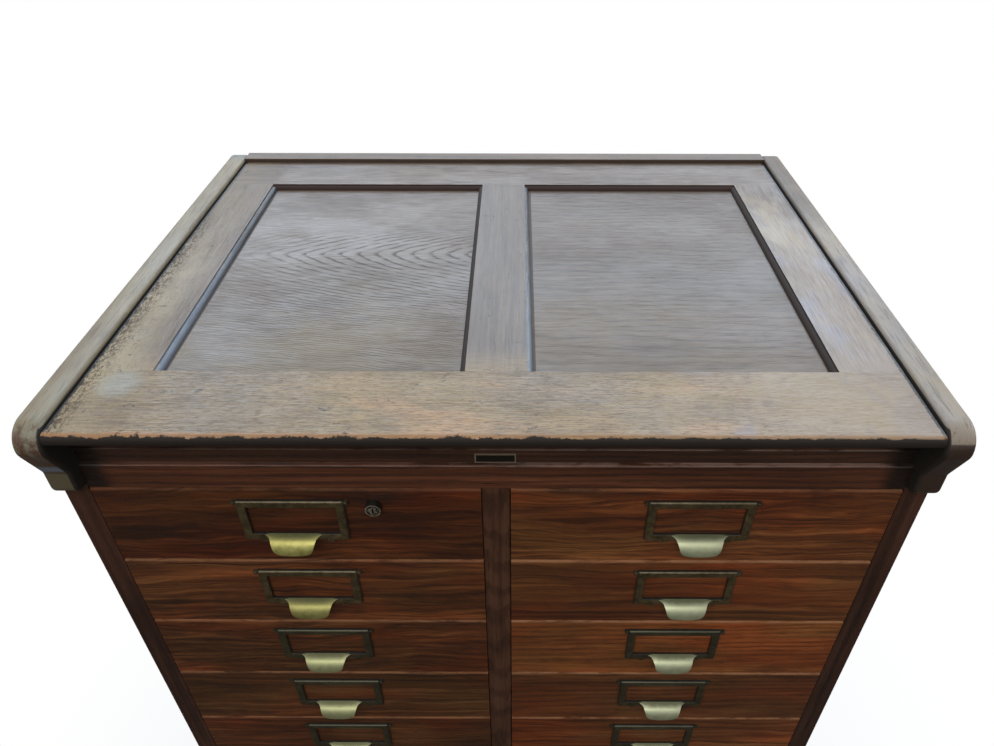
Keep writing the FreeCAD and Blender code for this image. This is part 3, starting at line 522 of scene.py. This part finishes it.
def top_frame_material():
    """Rails with the grain across, stiles and muntin front to back; a worn front rail."""
    tree = Tree("top_oak")
    front = tree.math("LESS_THAN", tree.y, FRONT_RAIL_BACK)
    rails = tree.either(front, tree.math("GREATER_THAN", tree.y, BACK_RAIL_FRONT))
    facts = (TOP_STAIN, 0.45, 0.02, 0.01, 0.03)
    across, high_a = oak(tree, *turned_axes(tree, "xt"), *facts, (0.5, 0.3), fineness=2.2)
    lengthwise, high_b = oak(tree, *turned_axes(tree, "y"), *facts, (0.6, 0.2), fineness=2.2)
    colour = tree.mix(rails, flecks(tree, lengthwise, tree.y, tree.x, 0.35),
                      flecks(tree, across, tree.x, tree.y, 0.35))
    height = tree.math("ADD", tree.both(rails, high_a), tree.both(tree.rest(rails), high_b))
    cloud = tree.spots((5.0, 9.0, 5.0), 4.0, 0.65)
    fine = tree.spots((30.0, 420.0, 60.0), 4.0, 0.7)
    worn = tree.scaled(tree.step(cloud, 0.3, 0.75), 0.6,
                       tree.both(tree.step(fine, 0.35, 0.65), 0.35))
    worn = tree.both(tree.scaled(worn, 0.9, 0.1), tree.step(tree.y, -0.165, -0.24))
    colour = tree.mix(worn, colour, WORN_TAN)
    warm_spots = tree.spots((11.0, 26.0, 10.0), 3.0, 0.6, (4.0, 2.0, 0.0))
    warm_spots = tree.both(tree.step(warm_spots, 0.5, 0.66), tree.inside(tree.x, -0.12, 0.22, 0.1))
    dashes = tree.spots((120.0, 800.0, 60.0), 4.0, 0.7)
    dashes = tree.both(tree.step(dashes, 0.48, 0.62), tree.step(tree.y, -0.195, -0.215))
    side = tree.both(tree.step(tree.x, -0.3, -0.35), tree.step(cloud, 0.25, 0.7))
    forward = tree.step(tree.y, 0.12, -0.1)
    pale = tree.both(tree.step(tree.x, 0.1, 0.34), tree.step(tree.y, 0.2, -0.1))
    high = tree.both(tree.step(tree.x, 0.29, 0.33), tree.step(tree.y, 0.24, 0.0))
    on_right = tree.both(tree.step(tree.x, 0.06, 0.2), tree.step(tree.y, 0.24, 0.1))
    colour = tree.layers(colour, (ORANGE_SPOT, tree.both(warm_spots, worn), 0.75),
                         (RAIL_DASH, dashes, 0.62), (STILE_TAN, side, 0.6),
                         (STILE_FRONT, tree.both(side, forward), 0.7), (RIGHT_PALE, pale, 0.65),
                         (RIGHT_STILE, high, 0.6))
    colour = patina(tree, colour, tree.both(on_right, 0.5))
    specks = tree.spots((520.0, 230.0, 300.0), 4.0, 0.75)
    peppered = tree.both(tree.step(specks, 0.5, 0.62), tree.step(tree.x, -0.3, -0.31))
    stained = tree.both(tree.step(tree.x, -0.34, -0.357), tree.step(specks, 0.42, 0.56))
    stained = tree.both(stained, tree.step(tree.y, 0.16, 0.0))
    # A ragged dark seam along each cheek: a dark joint with the cheek's painted shadow over it.
    seam = tree.scaled(tree.less(specks, 0.5), 0.006, tree.absolute(tree.x))
    colour = tree.layers(colour, (PEPPER, peppered, 0.4), (DIRT, stained, 0.8))
    colour = tree.mix(tree.step(seam, 0.3585, 0.3605), colour, SEAM_SHADOW)
    chips = tree.less(tree.spots((62.0, 90.0, 8.0), 5.0, 0.8), 0.5)
    nose = tree.step(tree.scaled(chips, 0.012, tree.y), -0.292, -0.2945)
    left_nose = tree.scaled(tree.step(tree.x, 0.25, -0.3), 0.45, 0.4)
    ragged = tree.scaled(tree.step(tree.x, 0.2, 0.0), 0.0045, 0.0035)
    # Painted shade on the underside of the nose, with a ragged upper edge.
    under = tree.step(tree.scaled(chips, ragged, tree.z), 1.1842, 1.1834)
    sunk = tree.step(tree.z, 1.1848, 1.1846)
    within = tree.inside(tree.y, -0.2118, 0.199, 0.0002)
    sunk = tree.both(sunk, within)
    # Painted shade on the sunk mouldings that face left and on those along the back rail; painted
    # light on those that face right, stronger towards the front.
    facing_left, facing_right = ovolos(tree, 1), ovolos(tree, -1)
    strength = tree.scaled(tree.step(tree.y, 0.1, -0.2), 0.45, 0.15)
    at_back = tree.inside(tree.y, 0.1925, 0.1985, 0.0002)
    faded = tree.both(tree.near((-0.3265, -0.23, 1.185), (0.027, 0.026, 0.01)),
                      tree.step(fine, 0.28, 0.6))
    dim = tree.either(tree.both(under, nose), tree.both(sunk, tree.either(facing_left, at_back)))
    rough = tree.scaled(tree.either(dim, tree.both(stained, 0.8)), 0.4, 0.37)
    gloss = tree.mix(rails, sheen(tree, tree.y, tree.x), sheen(tree, tree.x, tree.y))
    on_muntin = tree.both(tree.step(tree.absolute(tree.x), 0.03, 0.026), tree.rest(rails))
    gloss = tree.scaled(tree.both(on_muntin, tree.less(0.4, gloss)), 0.75, gloss)
    colour = tree.layers(colour, (NOSE_BARE, nose, left_nose), (NOSE_UNDER_SHADE, under, 0.99),
                         (OVOLO_SHADE, tree.both(sunk, facing_left), 0.93),
                         (OVOLO_LIT, tree.both(sunk, facing_right), strength),
                         (OVOLO_BACK_SHADE, tree.both(sunk, at_back), 0.95), (FADED_SPOT, faded, 0.6))
    for mask, cut in ((dim, 1.0), (tree.step(tree.x, -0.29, -0.31), 0.65), (worn, 0.55),
                      (stained, 0.9), (dashes, 0.9)):
        gloss = tree.both(gloss, tree.scaled(mask, -cut, 1.0))
    return tree.wood(colour, rough, height, gloss, 0.36, 0.3)


def panel_material():
    """Two boards with pointed arches of figure, one running left, the other plainer."""
    tree = Tree("panel_oak")
    facts = (0.03, 0.009, 0.03, (0.25, -1.1), 0.5, 2.4)
    axes = turned_axes(tree, "xt")
    left_colour, left_height = oak(tree, *axes, TOP_STAIN, 0.25, *facts)
    figure = arches(tree, tree.x, tree.y)
    left_height = tree.scaled(figure, -1.2, left_height)
    right_colour, right_height = oak(tree, *axes, TOP_STAIN, 0.6, *facts)
    right = tree.step(tree.x, -0.01, 0.01)
    left = tree.rest(right)
    left_colour = tree.paint(left_colour, ARCH_LINE, figure, 0.72)
    colour = flecks(tree, tree.mix(right, left_colour, right_colour), tree.x, tree.y, 0.45)
    height = tree.math("ADD", tree.both(right, right_height), tree.both(left, left_height))
    cloud = tree.spots((6.0, 9.0, 1.0), 4.0, 0.65, (1.3, 0.2, 0.0))
    olive = tree.both(tree.step(cloud, 0.36, 0.62), tree.step(tree.y, 0.02, -0.16))
    olive = tree.both(olive, tree.scaled(tree.step(tree.x, 0.0, -0.22), 0.6, 0.4))
    # Painted shade in the crease along each panel's left edge, by the moulding.
    crease_shade = tree.either(tree.inside(tree.x, -0.301, -0.2976, 0.0004),
                         tree.inside(tree.x, 0.032, 0.0358, 0.0004))
    rough = tree.scaled(tree.either(tree.both(left, figure), crease_shade), 0.22, 0.34)
    gloss = tree.both(sheen(tree, tree.x, tree.y), tree.scaled(tree.both(left, figure), -0.8, 1.0))
    gloss = tree.both(gloss, tree.scaled(right, -0.46, 1.12))
    colour = tree.layers(colour, (OLIVE, olive, 0.55), (CREASE_SHADE, crease_shade, 0.85))
    for mask, cut in ((olive, 0.55), (crease_shade, 0.9)):
        gloss = tree.both(gloss, tree.scaled(mask, -cut, 1.0))
    return tree.finish(colour, rough, tree.bump(height, 0.00025, 0.45), coat=gloss, coat_rough=0.3,
                       specular=0.36)


def cheek_material():
    """Oak along the cheek with painted shade inside: tan over a rubbed nose on the left, pale on
    the right.
    """
    tree = Tree("cheek_oak")
    colour, height = oak(tree, *turned_axes(tree, "y"), TOP_STAIN, 0.35, 0.02, 0.01, 0.03,
                         (0.8, 0.2), fineness=1.8)
    on_left = tree.step(tree.x, 0.0, -0.1)
    on_right = tree.rest(on_left)
    cloud = tree.spots((12.0, 5.0, 12.0), 4.0, 0.65)
    tan = tree.both(on_left, tree.step(tree.z, 1.16, 1.18), tree.step(cloud, 0.15, 0.6))
    cool = tree.both(on_left, tree.step(cloud, 0.45, 0.62), tree.step(tree.y, -0.12, -0.2))
    back_end = tree.both(on_left, tree.step(tree.y, 0.262, 0.285))
    # Pale weathered wood on top of the right cheek, paler towards the front as a painted sheen.
    ashen_sheen = tree.both(on_right, tree.step(tree.z, 1.177, 1.179), tree.step(tree.y, 0.22, -0.06))
    tan_right = tree.both(on_right, tree.step(tree.z, 1.18, 1.186), tree.step(cloud, 0.42, 0.62))
    colour = tree.layers(colour, (CHEEK_TAN, tan, 0.9), (CHEEK_COOL, cool, 0.5),
                         (CHEEK_BACK, back_end, 0.7), (CHEEK_ASHEN_SHEEN, ashen_sheen, 0.8),
                         (CHEEK_PALE, tan_right, 0.45))
    colour = patina(tree, colour, tree.both(ashen_sheen, 0.35))
    low = tree.step(tree.z, 1.179, 1.1772)
    strokes = tree.spots((360.0, 22.0, 300.0), 4.0, 0.7)
    strokes = tree.both(tree.step(strokes, 0.5, 0.64), tree.step(tree.z, 1.17, 1.18))
    below = tree.step(tree.z, 1.168, 1.15)
    spots = tree.spots((90.0, 60.0, 60.0), 4.0, 0.7)
    nose = tree.both(tree.inside(tree.y, -0.31, -0.288, 0.003), on_left)
    rubbed = tree.both(nose, tree.step(spots, 0.4, 0.56))
    bare = tree.both(nose, tree.step(spots, 0.6, 0.68))
    # A painted bluish highlight on the slant under the left cheek's nose.
    slant = tree.both(tree.inside(tree.z, 1.133, 1.143, 0.002), on_left)
    foot = tree.both(tree.step(tree.z, 1.131, 1.128), on_left)
    wide = tree.absolute(tree.x)
    # Painted shade on the inner face of each cheek, left off its lit upper edge.
    inner = tree.step(wide, 0.3672, 0.366)
    lit = tree.step(tree.scaled(on_right, -0.001, tree.z), 1.1856, 1.1866)
    inner = tree.both(inner, tree.scaled(lit, -0.85, 1.0))
    colour = tree.layers(colour, (CHEEK_LOW_RIGHT, tree.both(low, on_right), 0.9),
                         (CHEEK_STROKE, strokes, 0.6), (CHEEK_LOW_LEFT, tree.both(below, on_left),
                                                        0.85), (CHEEK_RUBBED, rubbed, 0.9),
                         (CHEEK_BARE, bare, 0.8), (CHEEK_SLANT_HIGHLIGHT, slant, 0.6),
                         (CHEEK_FOOT, foot, 0.75))
    colour = tree.mix(inner, colour, CHEEK_INSIDE_SHADE)
    side = tree.both(tree.step(wide, 0.3868, 0.3876), tree.step(tree.y, -0.298, -0.29))
    gloss = tree.both(sheen(tree, tree.y, tree.x), tree.scaled(inner, -0.5, 0.56))
    gloss = tree.both(gloss, tree.scaled(on_right, -0.45, 1.0))
    rough = tree.scaled(inner, 0.35, 0.38)
    colour = tree.paint(colour, CHEEK_SIDE, side, 0.8)
    return tree.wood(colour, rough, height, gloss, 0.36, 0.3)


def metal_material(name, dark, light, rough, metal=1.0, tongue=False, green=0.0):
    """Tarnished metal with darker spots; a tongue has a painted dark reflection at its root, and is
    silvery on the right.
    """
    tree = Tree(name)
    spots = tree.noise(tree.place, 150.0, 5.0, 0.65)
    tone = tree.ramp(spots, [(0.32, dark), (0.68, light)])
    low_rows = tree.step(tree.z, STACK_BOTTOM + 8.2 * PITCH, STACK_BOTTOM + 7.8 * PITCH)
    if green:
        tone = tree.paint(tone, GREEN_FRAME, low_rows, green)
    if tongue:
        second = tree.both(tree.step(tree.z, 1.002, 0.998), tree.step(tree.z, 0.9, 0.905))
        second = tree.both(second, tree.step(tree.x, 0.05, -0.05))
        silver = tree.step(tree.x, -0.05, 0.05)
        tone = tree.layers(tone, (DULL_TONGUE, second, 0.4), (SILVER_RIGHT, silver, 0.65))
        silver = tree.both(tree.step(tree.x, 0.05, -0.05), low_rows)
        row = tree.math("FRACT", tree.math("DIVIDE", tree.less(tree.z, STACK_BOTTOM), PITCH))
        height = tree.scaled(row, PITCH, -PULL_RISE)
        # Painted dark reflection in the bend where the tongue leaves its frame.
        root = tree.step(tree.scaled(tree.less(spots, 0.5), 0.002, height), -0.0212, -0.0185)
        tone = tree.layers(tone, (SILVER_LOW, silver, 0.55), (TONGUE_ROOT_DARK_REFLECTION, root, 0.85))
    patina = tree.scaled(tree.less(spots, 0.5), 0.3, rough)
    return tree.finish(tone, patina, tree.bump(spots, 0.0001, 0.3), metal=metal)


def lock_material():
    """The lock: a dark face with painted highlight glints on its rim, a bright plug, and a keyhole
    slit painted as shade.
    """
    tree = Tree("lock_metal")
    off_x, off_z = tree.less(tree.x, LOCK_X), tree.less(tree.z, LOCK_Z)
    made = tree.add("ShaderNodeVectorMath", operation="LENGTH")
    tree.feed(made.inputs[0], tree.vector(off_x, off_z, 0.0))
    radius = made.outputs["Value"]
    spots = tree.noise(tree.place, 420.0, 4.0, 0.7)
    # Painted highlight glints round the rim.
    rim = tree.both(tree.inside(radius, 0.006, 0.0072, 0.0003), tree.step(spots, 0.36, 0.52))
    plug = tree.both(tree.step(radius, 0.0048, 0.0044), tree.step(spots, 0.36, 0.6))
    colour = tree.ramp(spots, [(0.32, (0.03, 0.026, 0.02)), (0.68, (0.105, 0.092, 0.072))])
    colour = tree.mix(rim, colour, LOCK_RIM_GLINTS)
    colour = tree.paint(colour, LOCK_FACE, plug, 0.85)
    # The keyhole is not cut: its slit is painted dark as the shade in the hole.
    slit = tree.both(tree.inside(off_x, -0.0008, 0.0008, 0.0002),
                     tree.inside(off_z, -0.0032, 0.0032, 0.0003))
    colour = tree.mix(slit, colour, KEYHOLE_SHADE)
    return tree.finish(colour, 0.32, tree.bump(spots, 0.0001, 0.4), metal=0.85)


def plate_material():
    """The bare nameplate: dark, with a thin light line round its edge."""
    tree = Tree("plate_brass")
    edge_x = tree.step(tree.absolute(tree.x), 0.0166, 0.0172)
    edge_z = tree.step(tree.absolute(tree.less(tree.z, PLATE_Z)), 0.0037, 0.0042)
    edge = tree.either(edge_x, edge_z)
    colour = tree.mix(edge, PLATE_FACE, PLATE_EDGE)
    return tree.finish(colour, 0.4, None, metal=0.8)


SIDE_EDGES = (-0.21, 0.238)
SIDE_RAILS = ((-1.0, 0.109), (0.5443, 0.6063), (1.0415, 2.0))
BACK_EDGES = (-0.294, -0.035, 0.035, 0.294)
BACK_RAILS = ((-1.0, 0.109), (1.0335, 2.0))
METALS = {"frame_brass": ((0.062, 0.048, 0.024), (0.165, 0.125, 0.06), 0.42, 0.7, False, 0.55),
          "tongue_brass": ((0.25, 0.24, 0.065), (0.43, 0.4, 0.135), 0.44, 0.6, True),
          "shadow_brass": ((0.01, 0.008, 0.006), (0.02, 0.016, 0.011), 0.6, 0.3),
          "rubbed_brass": ((0.046, 0.038, 0.022), (0.115, 0.094, 0.056), 0.46, 0.7, False, 0.65),}
looks = {
    "drawer": front_material(),
    "cross": rail_material(),
    "upright": carcass_material("upright_oak", "z"),
    "side": framed_material("side_oak", False, SIDE_EDGES, SIDE_RAILS),
    "back": framed_material("back_oak", True, BACK_EDGES, BACK_RAILS),
    "lengthwise": cheek_material(),
    "top": top_frame_material(),
    "panel": panel_material(),
    "upstand": upstand_material(),
    "inner": carcass_material("inner_wood", "y", RAW, 0.4, 0.6, 0.0),
    **{name: metal_material(name, *facts) for name, facts in METALS.items()},
    "lock": lock_material(),
    "plate": plate_material(),
}
wearers = {"lengthwise": "left_cheek right_cheek",
           "side": "left_side_frame right_side_frame side_panels", "back": "back_frame back_panels",
           "upstand": "back_upstand", "top": "top_frame", "panel": "top_panels",
           "cross": "frieze front_rails plinth", "plate": "nameplate", "upright": "centre_stile",
           "inner": "centre_partition bottom_board drawer_runners", "lock": "lock_case lock_plug",}
chosen = {name: look for look, names in wearers.items() for name in names.split()}
for name, node in nodes.items():
    if name.startswith("drawer_") and name != "drawer_runners":
        look = "drawer"
    elif name.startswith("pull_"):
        look = "frame_brass"
    else:
        look = chosen[name]
    for place in node.material_slots:
        place.material = looks[look]


# Meshes

def new_piece(name, points, faces, materials, marks=None):
    mesh = bpy.data.meshes.new(name)
    mesh.from_pydata(points, [], faces)
    for look in materials:
        mesh.materials.append(looks[look])
    if marks:
        mesh.polygons.foreach_set("material_index", marks)
    shape = bmesh.new()
    shape.from_mesh(mesh)
    bmesh.ops.recalc_face_normals(shape, faces=shape.faces)
    for edge in shape.edges:
        edge.smooth = len(edge.link_faces) == 2 and edge.calc_face_angle(0.0) < math.radians(38)
    for face in shape.faces:
        face.smooth = len(face.verts) == 4
    shape.to_mesh(mesh)
    shape.free()
    made = bpy.data.objects.new(name, mesh)
    bpy.context.scene.collection.objects.link(made)
    return made


class Solid:
    """Points and faces gathered part by part."""

    def __init__(self):
        self.points, self.faces, self.marks = [], [], []

    def loops(self, rings, mark=0, start_cap=False, end_cap=False, closed=True):
        """Skin a row of point rings that all have the same count."""
        first, count = len(self.points), len(rings[0])
        for ring in rings:
            self.points += [tuple(point) for point in ring]
        span = count if closed else count - 1
        for row in range(len(rings) - 1):
            for step in range(span):
                a = first + row * count + step
                b = first + row * count + (step + 1) % count
                self.faces.append((a, b, b + count, a + count))
                self.marks.append(mark)
        last = first + (len(rings) - 1) * count
        for wanted, base in ((start_cap, first), (end_cap, last)):
            if wanted:
                self.faces.append(tuple(range(base, base + count)))
                self.marks.append(mark)


def round_rectangle(x0, x1, z0, z1, radius, y, steps=4):
    """A ring in the plane of the drawer's face with rounded corners."""
    ring = []
    for cx, cz, turn in ((x1 - radius, z1 - radius, 0), (x0 + radius, z1 - radius, 90),
                         (x0 + radius, z0 + radius, 180), (x1 - radius, z0 + radius, 270)):
        for step in range(steps + 1):
            angle = math.radians(turn + 90 * step / steps)
            ring.append((cx + radius * math.cos(angle), y, cz + radius * math.sin(angle)))
    return ring


def dome(solid, x, y, z, radius, rise, mark=0):
    """A pin's rounded head on a face towards -Y."""
    rings = []
    for step in range(6):
        angle = math.radians(15 * step)
        reach, height = radius * math.cos(angle), rise * math.sin(angle)
        rings.append([(x + reach * math.cos(math.radians(30 * k)), y - height,
                       z + reach * math.sin(math.radians(30 * k))) for k in range(12)])
    solid.loops(rings, mark, end_cap=True)


HALF_W, HALF_H = 0.049, 0.0258
WINDOW_X, WINDOW_TOP, WINDOW_LOW = 0.041, 0.0175, -0.018
FRAME, BRIGHT, SHADOW, RUBBED = range(4)


def pull_frame(solid):
    """The ring round the card window: skirt, sloped outer edge, flat face, dark inner wall."""
    def outer(inset, y):
        return round_rectangle(-HALF_W + inset, HALF_W - inset, -HALF_H + inset, HALF_H - inset,
                               0.0016, y)

    def window(grow, y):
        return round_rectangle(-WINDOW_X - grow, WINDOW_X + grow, WINDOW_LOW - grow,
                               WINDOW_TOP + grow, 0.0008, y)

    solid.loops([outer(0.0, -0.0001), outer(0.0, -0.0026)], SHADOW)
    solid.loops([outer(0.0, -0.0026), outer(0.0003, -0.0034), outer(0.0011, -0.0039)], RUBBED)
    solid.loops([outer(0.0011, -0.0039), window(0.0014, -0.0036), window(0.0003, -0.0033)], FRAME)
    solid.loops([window(0.0003, -0.0033), window(0.0, -0.003), window(0.0, -0.0002)], SHADOW)


def pull_tabs(solid):
    """Ears beside the upper corners and lugs under the lower bar, each with a pin."""
    for side in (-1, 1):
        near, far = side * (HALF_W - 0.0005), side * (HALF_W + 0.0042)
        low, high = min(near, far), max(near, far)
        plate = [round_rectangle(low, high, HALF_H - 0.0046, HALF_H - 0.0001, 0.002, y)
                 for y in (-0.0001, -0.0026, -0.0032)]
        solid.loops(plate, RUBBED, end_cap=True)
        dome(solid, side * (HALF_W + 0.002), -0.003, HALF_H - 0.0024, 0.0012, 0.0007, RUBBED)
        x = side * 0.031
        lug = [round_rectangle(x - 0.003, x + 0.003, -HALF_H - 0.0024, -HALF_H + 0.0015, 0.0014, y)
               for y in (-0.0001, -0.003, -0.0034)]
        solid.loops(lug, FRAME, end_cap=True)
        dome(solid, x, -0.0033, -HALF_H + 0.0004, 0.0013, 0.0009, SHADOW)


# The tongue's half width at shares of its length, and its path down from the frame
FLARE = [(0.0, 0.029), (0.07, 0.0262), (0.15, 0.0236), (0.25, 0.022), (0.5, 0.0203),
         (0.75, 0.0187), (1.0, 0.0174)]
TONGUE = [(-0.0026, -0.0176), (-0.0044, -0.0183), (-0.006, -0.019), (-0.0078, -0.0198),
          (-0.0098, -0.0208), (-0.0116, -0.0222), (-0.0131, -0.024), (-0.0142, -0.026),
          (-0.0151, -0.0281), (-0.0157, -0.0301), (-0.0161, -0.032), (-0.0163, -0.0334),
          (-0.0163, -0.0343)]


def pull_tongue(solid):
    """The finger tongue: an S-shaped sheet, flared at its root, with a rounded tip."""
    path = []
    for (y0, z0), (y1, z1) in zip(TONGUE, TONGUE[1:]):
        path += [(y0 + (y1 - y0) * step / 2, z0 + (z1 - z0) * step / 2) for step in range(2)]
    path.append(TONGUE[-1])
    lengths = [0.0]
    for (y0, z0), (y1, z1) in zip(path, path[1:]):
        lengths.append(lengths[-1] + math.hypot(y1 - y0, z1 - z0))
    whole, corner = lengths[-1], 0.007
    across, front, back = 24, [], []
    for index, ((y, z), length) in enumerate(zip(path, lengths)):
        share = length / whole
        before = max(entry for entry in FLARE[:-1] if entry[0] <= share)
        after = FLARE[FLARE.index(before) + 1]
        beyond = (share - before[0]) / (after[0] - before[0])
        half = before[1] + (after[1] - before[1]) * beyond
        left = whole - length
        if left < corner:
            half += -corner + math.sqrt(max(0.0, corner ** 2 - (corner - left) ** 2))
        y0, z0 = path[max(0, index - 1)]
        y1, z1 = path[min(len(path) - 1, index + 1)]
        size = math.hypot(y1 - y0, z1 - z0)
        ny, nz = (z1 - z0) / size, -(y1 - y0) / size
        gauge = 0.0011
        row_front, row_back = [], []
        for step in range(across + 1):
            t = -1 + 2 * step / across
            curl = 0.0007 * t ** 4
            row_front.append((half * t, y - curl * ny, z - curl * nz))
            row_back.append((half * t * 0.985, y - (curl + gauge) * ny, z - (curl + gauge) * nz))
        front.append(row_front)
        back.append(row_back[::-1])
    solid.loops([f + b for f, b in zip(front, back)], BRIGHT, start_cap=True, end_cap=True)


def pull_shape(side):
    """One pull; the tongue sits a little outwards of its ring."""
    solid = Solid()
    pull_frame(solid)
    pull_tabs(solid)
    count = len(solid.points)
    pull_tongue(solid)
    solid.points = [(x + side * (-0.0012 if index < count else 0.0018), y, z)
                    for index, (x, y, z) in enumerate(solid.points)]
    return solid


for letter, side in (("l", -1), ("r", 1)):
    shape = pull_shape(side)
    for row in range(1, ROWS + 1):
        tag = f"{letter}{row:02d}"
        rise = STACK_BOTTOM + (ROWS - row) * PITCH + PULL_RISE
        points = [(x + side * COLUMN_CENTRE, y + FRONT_Y, z + rise) for x, y, z in shape.points]
        piece = new_piece(f"brass_pull_{tag}", points, shape.faces,
                          ("frame_brass", "tongue_brass", "shadow_brass", "rubbed_brass"),
                          shape.marks)
        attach(piece, f"drawer_{tag}")
        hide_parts(f"pull_{tag}")


# Cheeks with worn, rounded edges

def arc(points, corner, before, after, radius, steps=8):
    """Round a corner of a path with straight sides."""
    corner, before, after = Vector(corner), Vector(before), Vector(after)
    u, v = (before - corner).normalized(), (after - corner).normalized()
    half = u.angle(v) / 2
    reach = radius / math.tan(half)
    centre = corner + (u + v).normalized() * radius / math.sin(half)
    start, end = corner + u * reach - centre, corner + v * reach - centre
    turn = start.angle_signed(end)
    for step in range(steps + 1):
        spoke = start.copy()
        spoke.rotate(Matrix.Rotation(-turn * step / steps, 2))
        points.append(tuple(centre + spoke))


CHEEK_RADIUS = 0.0036


def cheek_outline(depth):
    """The cheek's outline moved inwards by depth, from the nose over the top to the back."""
    top, bottom, nose_y, back_y, foot_y = 1.1899, 1.1036, -0.2999, 0.2999, -0.2845
    corners = [((nose_y, top), 0.021), ((back_y, top), 0.014), ((back_y, bottom), 0.0012),
               ((foot_y, bottom), 0.009), ((foot_y, bottom + 0.027), 0.008),
               ((nose_y, top - 0.025), 0.018)]
    count = len(corners)
    moved = []
    for index, (corner, radius) in enumerate(corners):
        here = Vector(corner)
        u = (here - Vector(corners[index - 1][0])).normalized()
        v = (Vector(corners[(index + 1) % count][0]) - here).normalized()
        inwards = Vector((u.y, -u.x)) + Vector((v.y, -v.x))
        spot = here + inwards * depth / (1.0 + u.dot(v))
        hollow = u.x * v.y - u.y * v.x > 0.0
        moved.append((spot, radius + depth if hollow else max(radius - depth, 0.0004)))
    points = []
    for index, (corner, radius) in enumerate(moved):
        arc(points, corner, moved[index - 1][0], moved[(index + 1) % count][0], radius)
    return points


def cheek(side, node, name):
    inner, outer = side * CHEEK_INNER, side * CHEEK_OUTER
    radius = CHEEK_RADIUS
    rings = []
    for base, sign in ((inner, 1), (outer, -1)):
        part = [[(base, y, z) for y, z in cheek_outline(radius + 0.001)]]
        for step in range(5):
            angle = math.radians(22.5 * step)
            ring = cheek_outline(radius * (1 - math.sin(angle)))
            x = base + sign * side * radius * (1 - math.cos(angle))
            part.append([(x, y, z) for y, z in ring])
        rings += part if sign > 0 else part[::-1]
    solid = Solid()
    solid.loops(rings, start_cap=True, end_cap=True)
    piece = new_piece(name, solid.points, solid.faces, ("lengthwise",))
    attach(piece, "root")
    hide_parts(node)


cheek(-1, "left_cheek", "cheek_left")
cheek(1, "right_cheek", "cheek_right")


# Floor, light and camera

def stage_floor():
    mesh = bpy.data.meshes.new("floor")
    reach = 40.0
    corners = [(-reach, -reach, 0), (reach, -reach, 0), (reach, reach, 0), (-reach, reach, 0)]
    mesh.from_pydata(corners, [], [(0, 1, 2, 3)])
    floor = bpy.data.objects.new("floor", mesh)
    bpy.context.scene.collection.objects.link(floor)
    tree = Tree("floor_white")
    seen = tree.add("ShaderNodeBsdfDiffuse")
    seen.inputs["Color"].default_value = (0.85, 0.85, 0.85, 1.0)
    glow = tree.add("ShaderNodeEmission")
    bright = tree.add("ShaderNodeMixShader")
    distance = tree.add("ShaderNodeVectorMath", operation="LENGTH")
    tree.link(tree.place, distance.inputs[0])
    far = tree.step(distance.outputs["Value"], 0.55, 1.05)
    tree.feed(bright.inputs[0], tree.scaled(far, 0.18, 0.82))
    tree.link(seen.outputs[0], bright.inputs[1])
    tree.link(glow.outputs[0], bright.inputs[2])
    dull = tree.add("ShaderNodeBsdfDiffuse")
    dull.inputs["Color"].default_value = (0.1, 0.085, 0.07, 1.0)
    mixed = tree.add("ShaderNodeMixShader")
    tree.link(tree.add("ShaderNodeLightPath").outputs["Is Camera Ray"], mixed.inputs[0])
    tree.link(dull.outputs[0], mixed.inputs[1])
    tree.link(bright.outputs[0], mixed.inputs[2])
    tree.link(mixed.outputs[0], tree.output.inputs["Surface"])
    mesh.materials.append(tree.material)


stage_floor()


def area_light(name, place, target, size, power, colour):
    data = bpy.data.lights.new(name, "AREA")
    data.shape = "RECTANGLE"
    data.size, data.size_y = size
    data.energy = power
    data.color = colour
    lamp = bpy.data.objects.new(name, data)
    bpy.context.scene.collection.objects.link(lamp)
    lamp.location = place
    lamp.rotation_euler = (Vector(target) - Vector(place)).to_track_quat("-Z", "Y").to_euler()
    lamp.visible_camera = False
    return lamp


area_light("back_sheet", (0.0, 2.3, 3.7), (0.0, 0.0, 1.15), (5.0, 3.2), 142.0, (0.66, 0.82, 1.0))
area_light("right_window", (2.6, 0.4, 2.3), (0.0, 0.0, 1.1), (1.8, 1.6), 26.0, (0.88, 0.94, 1.0))
area_light("front_fill", (-0.4, -2.3, 3.1), (0.0, -0.27, 0.85), (2.6, 1.8), 48.0, (1.0, 0.95, 0.88))

world = bpy.data.worlds.new("surround")
bpy.context.scene.world = world
world.use_nodes = True
tree = world.node_tree
tree.nodes.clear()
seen = tree.nodes.new("ShaderNodeBackground")
seen.inputs["Color"].default_value = (1.0, 1.0, 1.0, 1.0)
lit = tree.nodes.new("ShaderNodeBackground")
lit.inputs["Color"].default_value = (0.86, 0.92, 1.0, 1.0)
lit.inputs["Strength"].default_value = 0.3
choice = tree.nodes.new("ShaderNodeMixShader")
path = tree.nodes.new("ShaderNodeLightPath")
out = tree.nodes.new("ShaderNodeOutputWorld")
shown = path.outputs["Is Camera Ray"]
for ray in ("Is Glossy Ray", "Is Transmission Ray"):
    either = tree.nodes.new("ShaderNodeMath")
    either.operation = "MAXIMUM"
    tree.links.new(shown, either.inputs[0])
    tree.links.new(path.outputs[ray], either.inputs[1])
    shown = either.outputs[0]
tree.links.new(shown, choice.inputs[0])
tree.links.new(lit.outputs[0], choice.inputs[1])
tree.links.new(seen.outputs[0], choice.inputs[2])
tree.links.new(choice.outputs[0], out.inputs["Surface"])

camera_data = bpy.data.cameras.new("camera")
camera_data.lens = 26.974
camera_data.sensor_width = 36.0
camera_data.shift_x = -0.0196
camera = bpy.data.objects.new("camera", camera_data)
bpy.context.scene.collection.objects.link(camera)
camera.location = (0.0191, -0.7375, 1.5852)
camera.rotation_euler = [math.radians(angle) for angle in (52.648, -0.072, 0.155)]
bpy.context.scene.camera = camera
bpy.context.scene.view_settings.view_transform = "Standard"
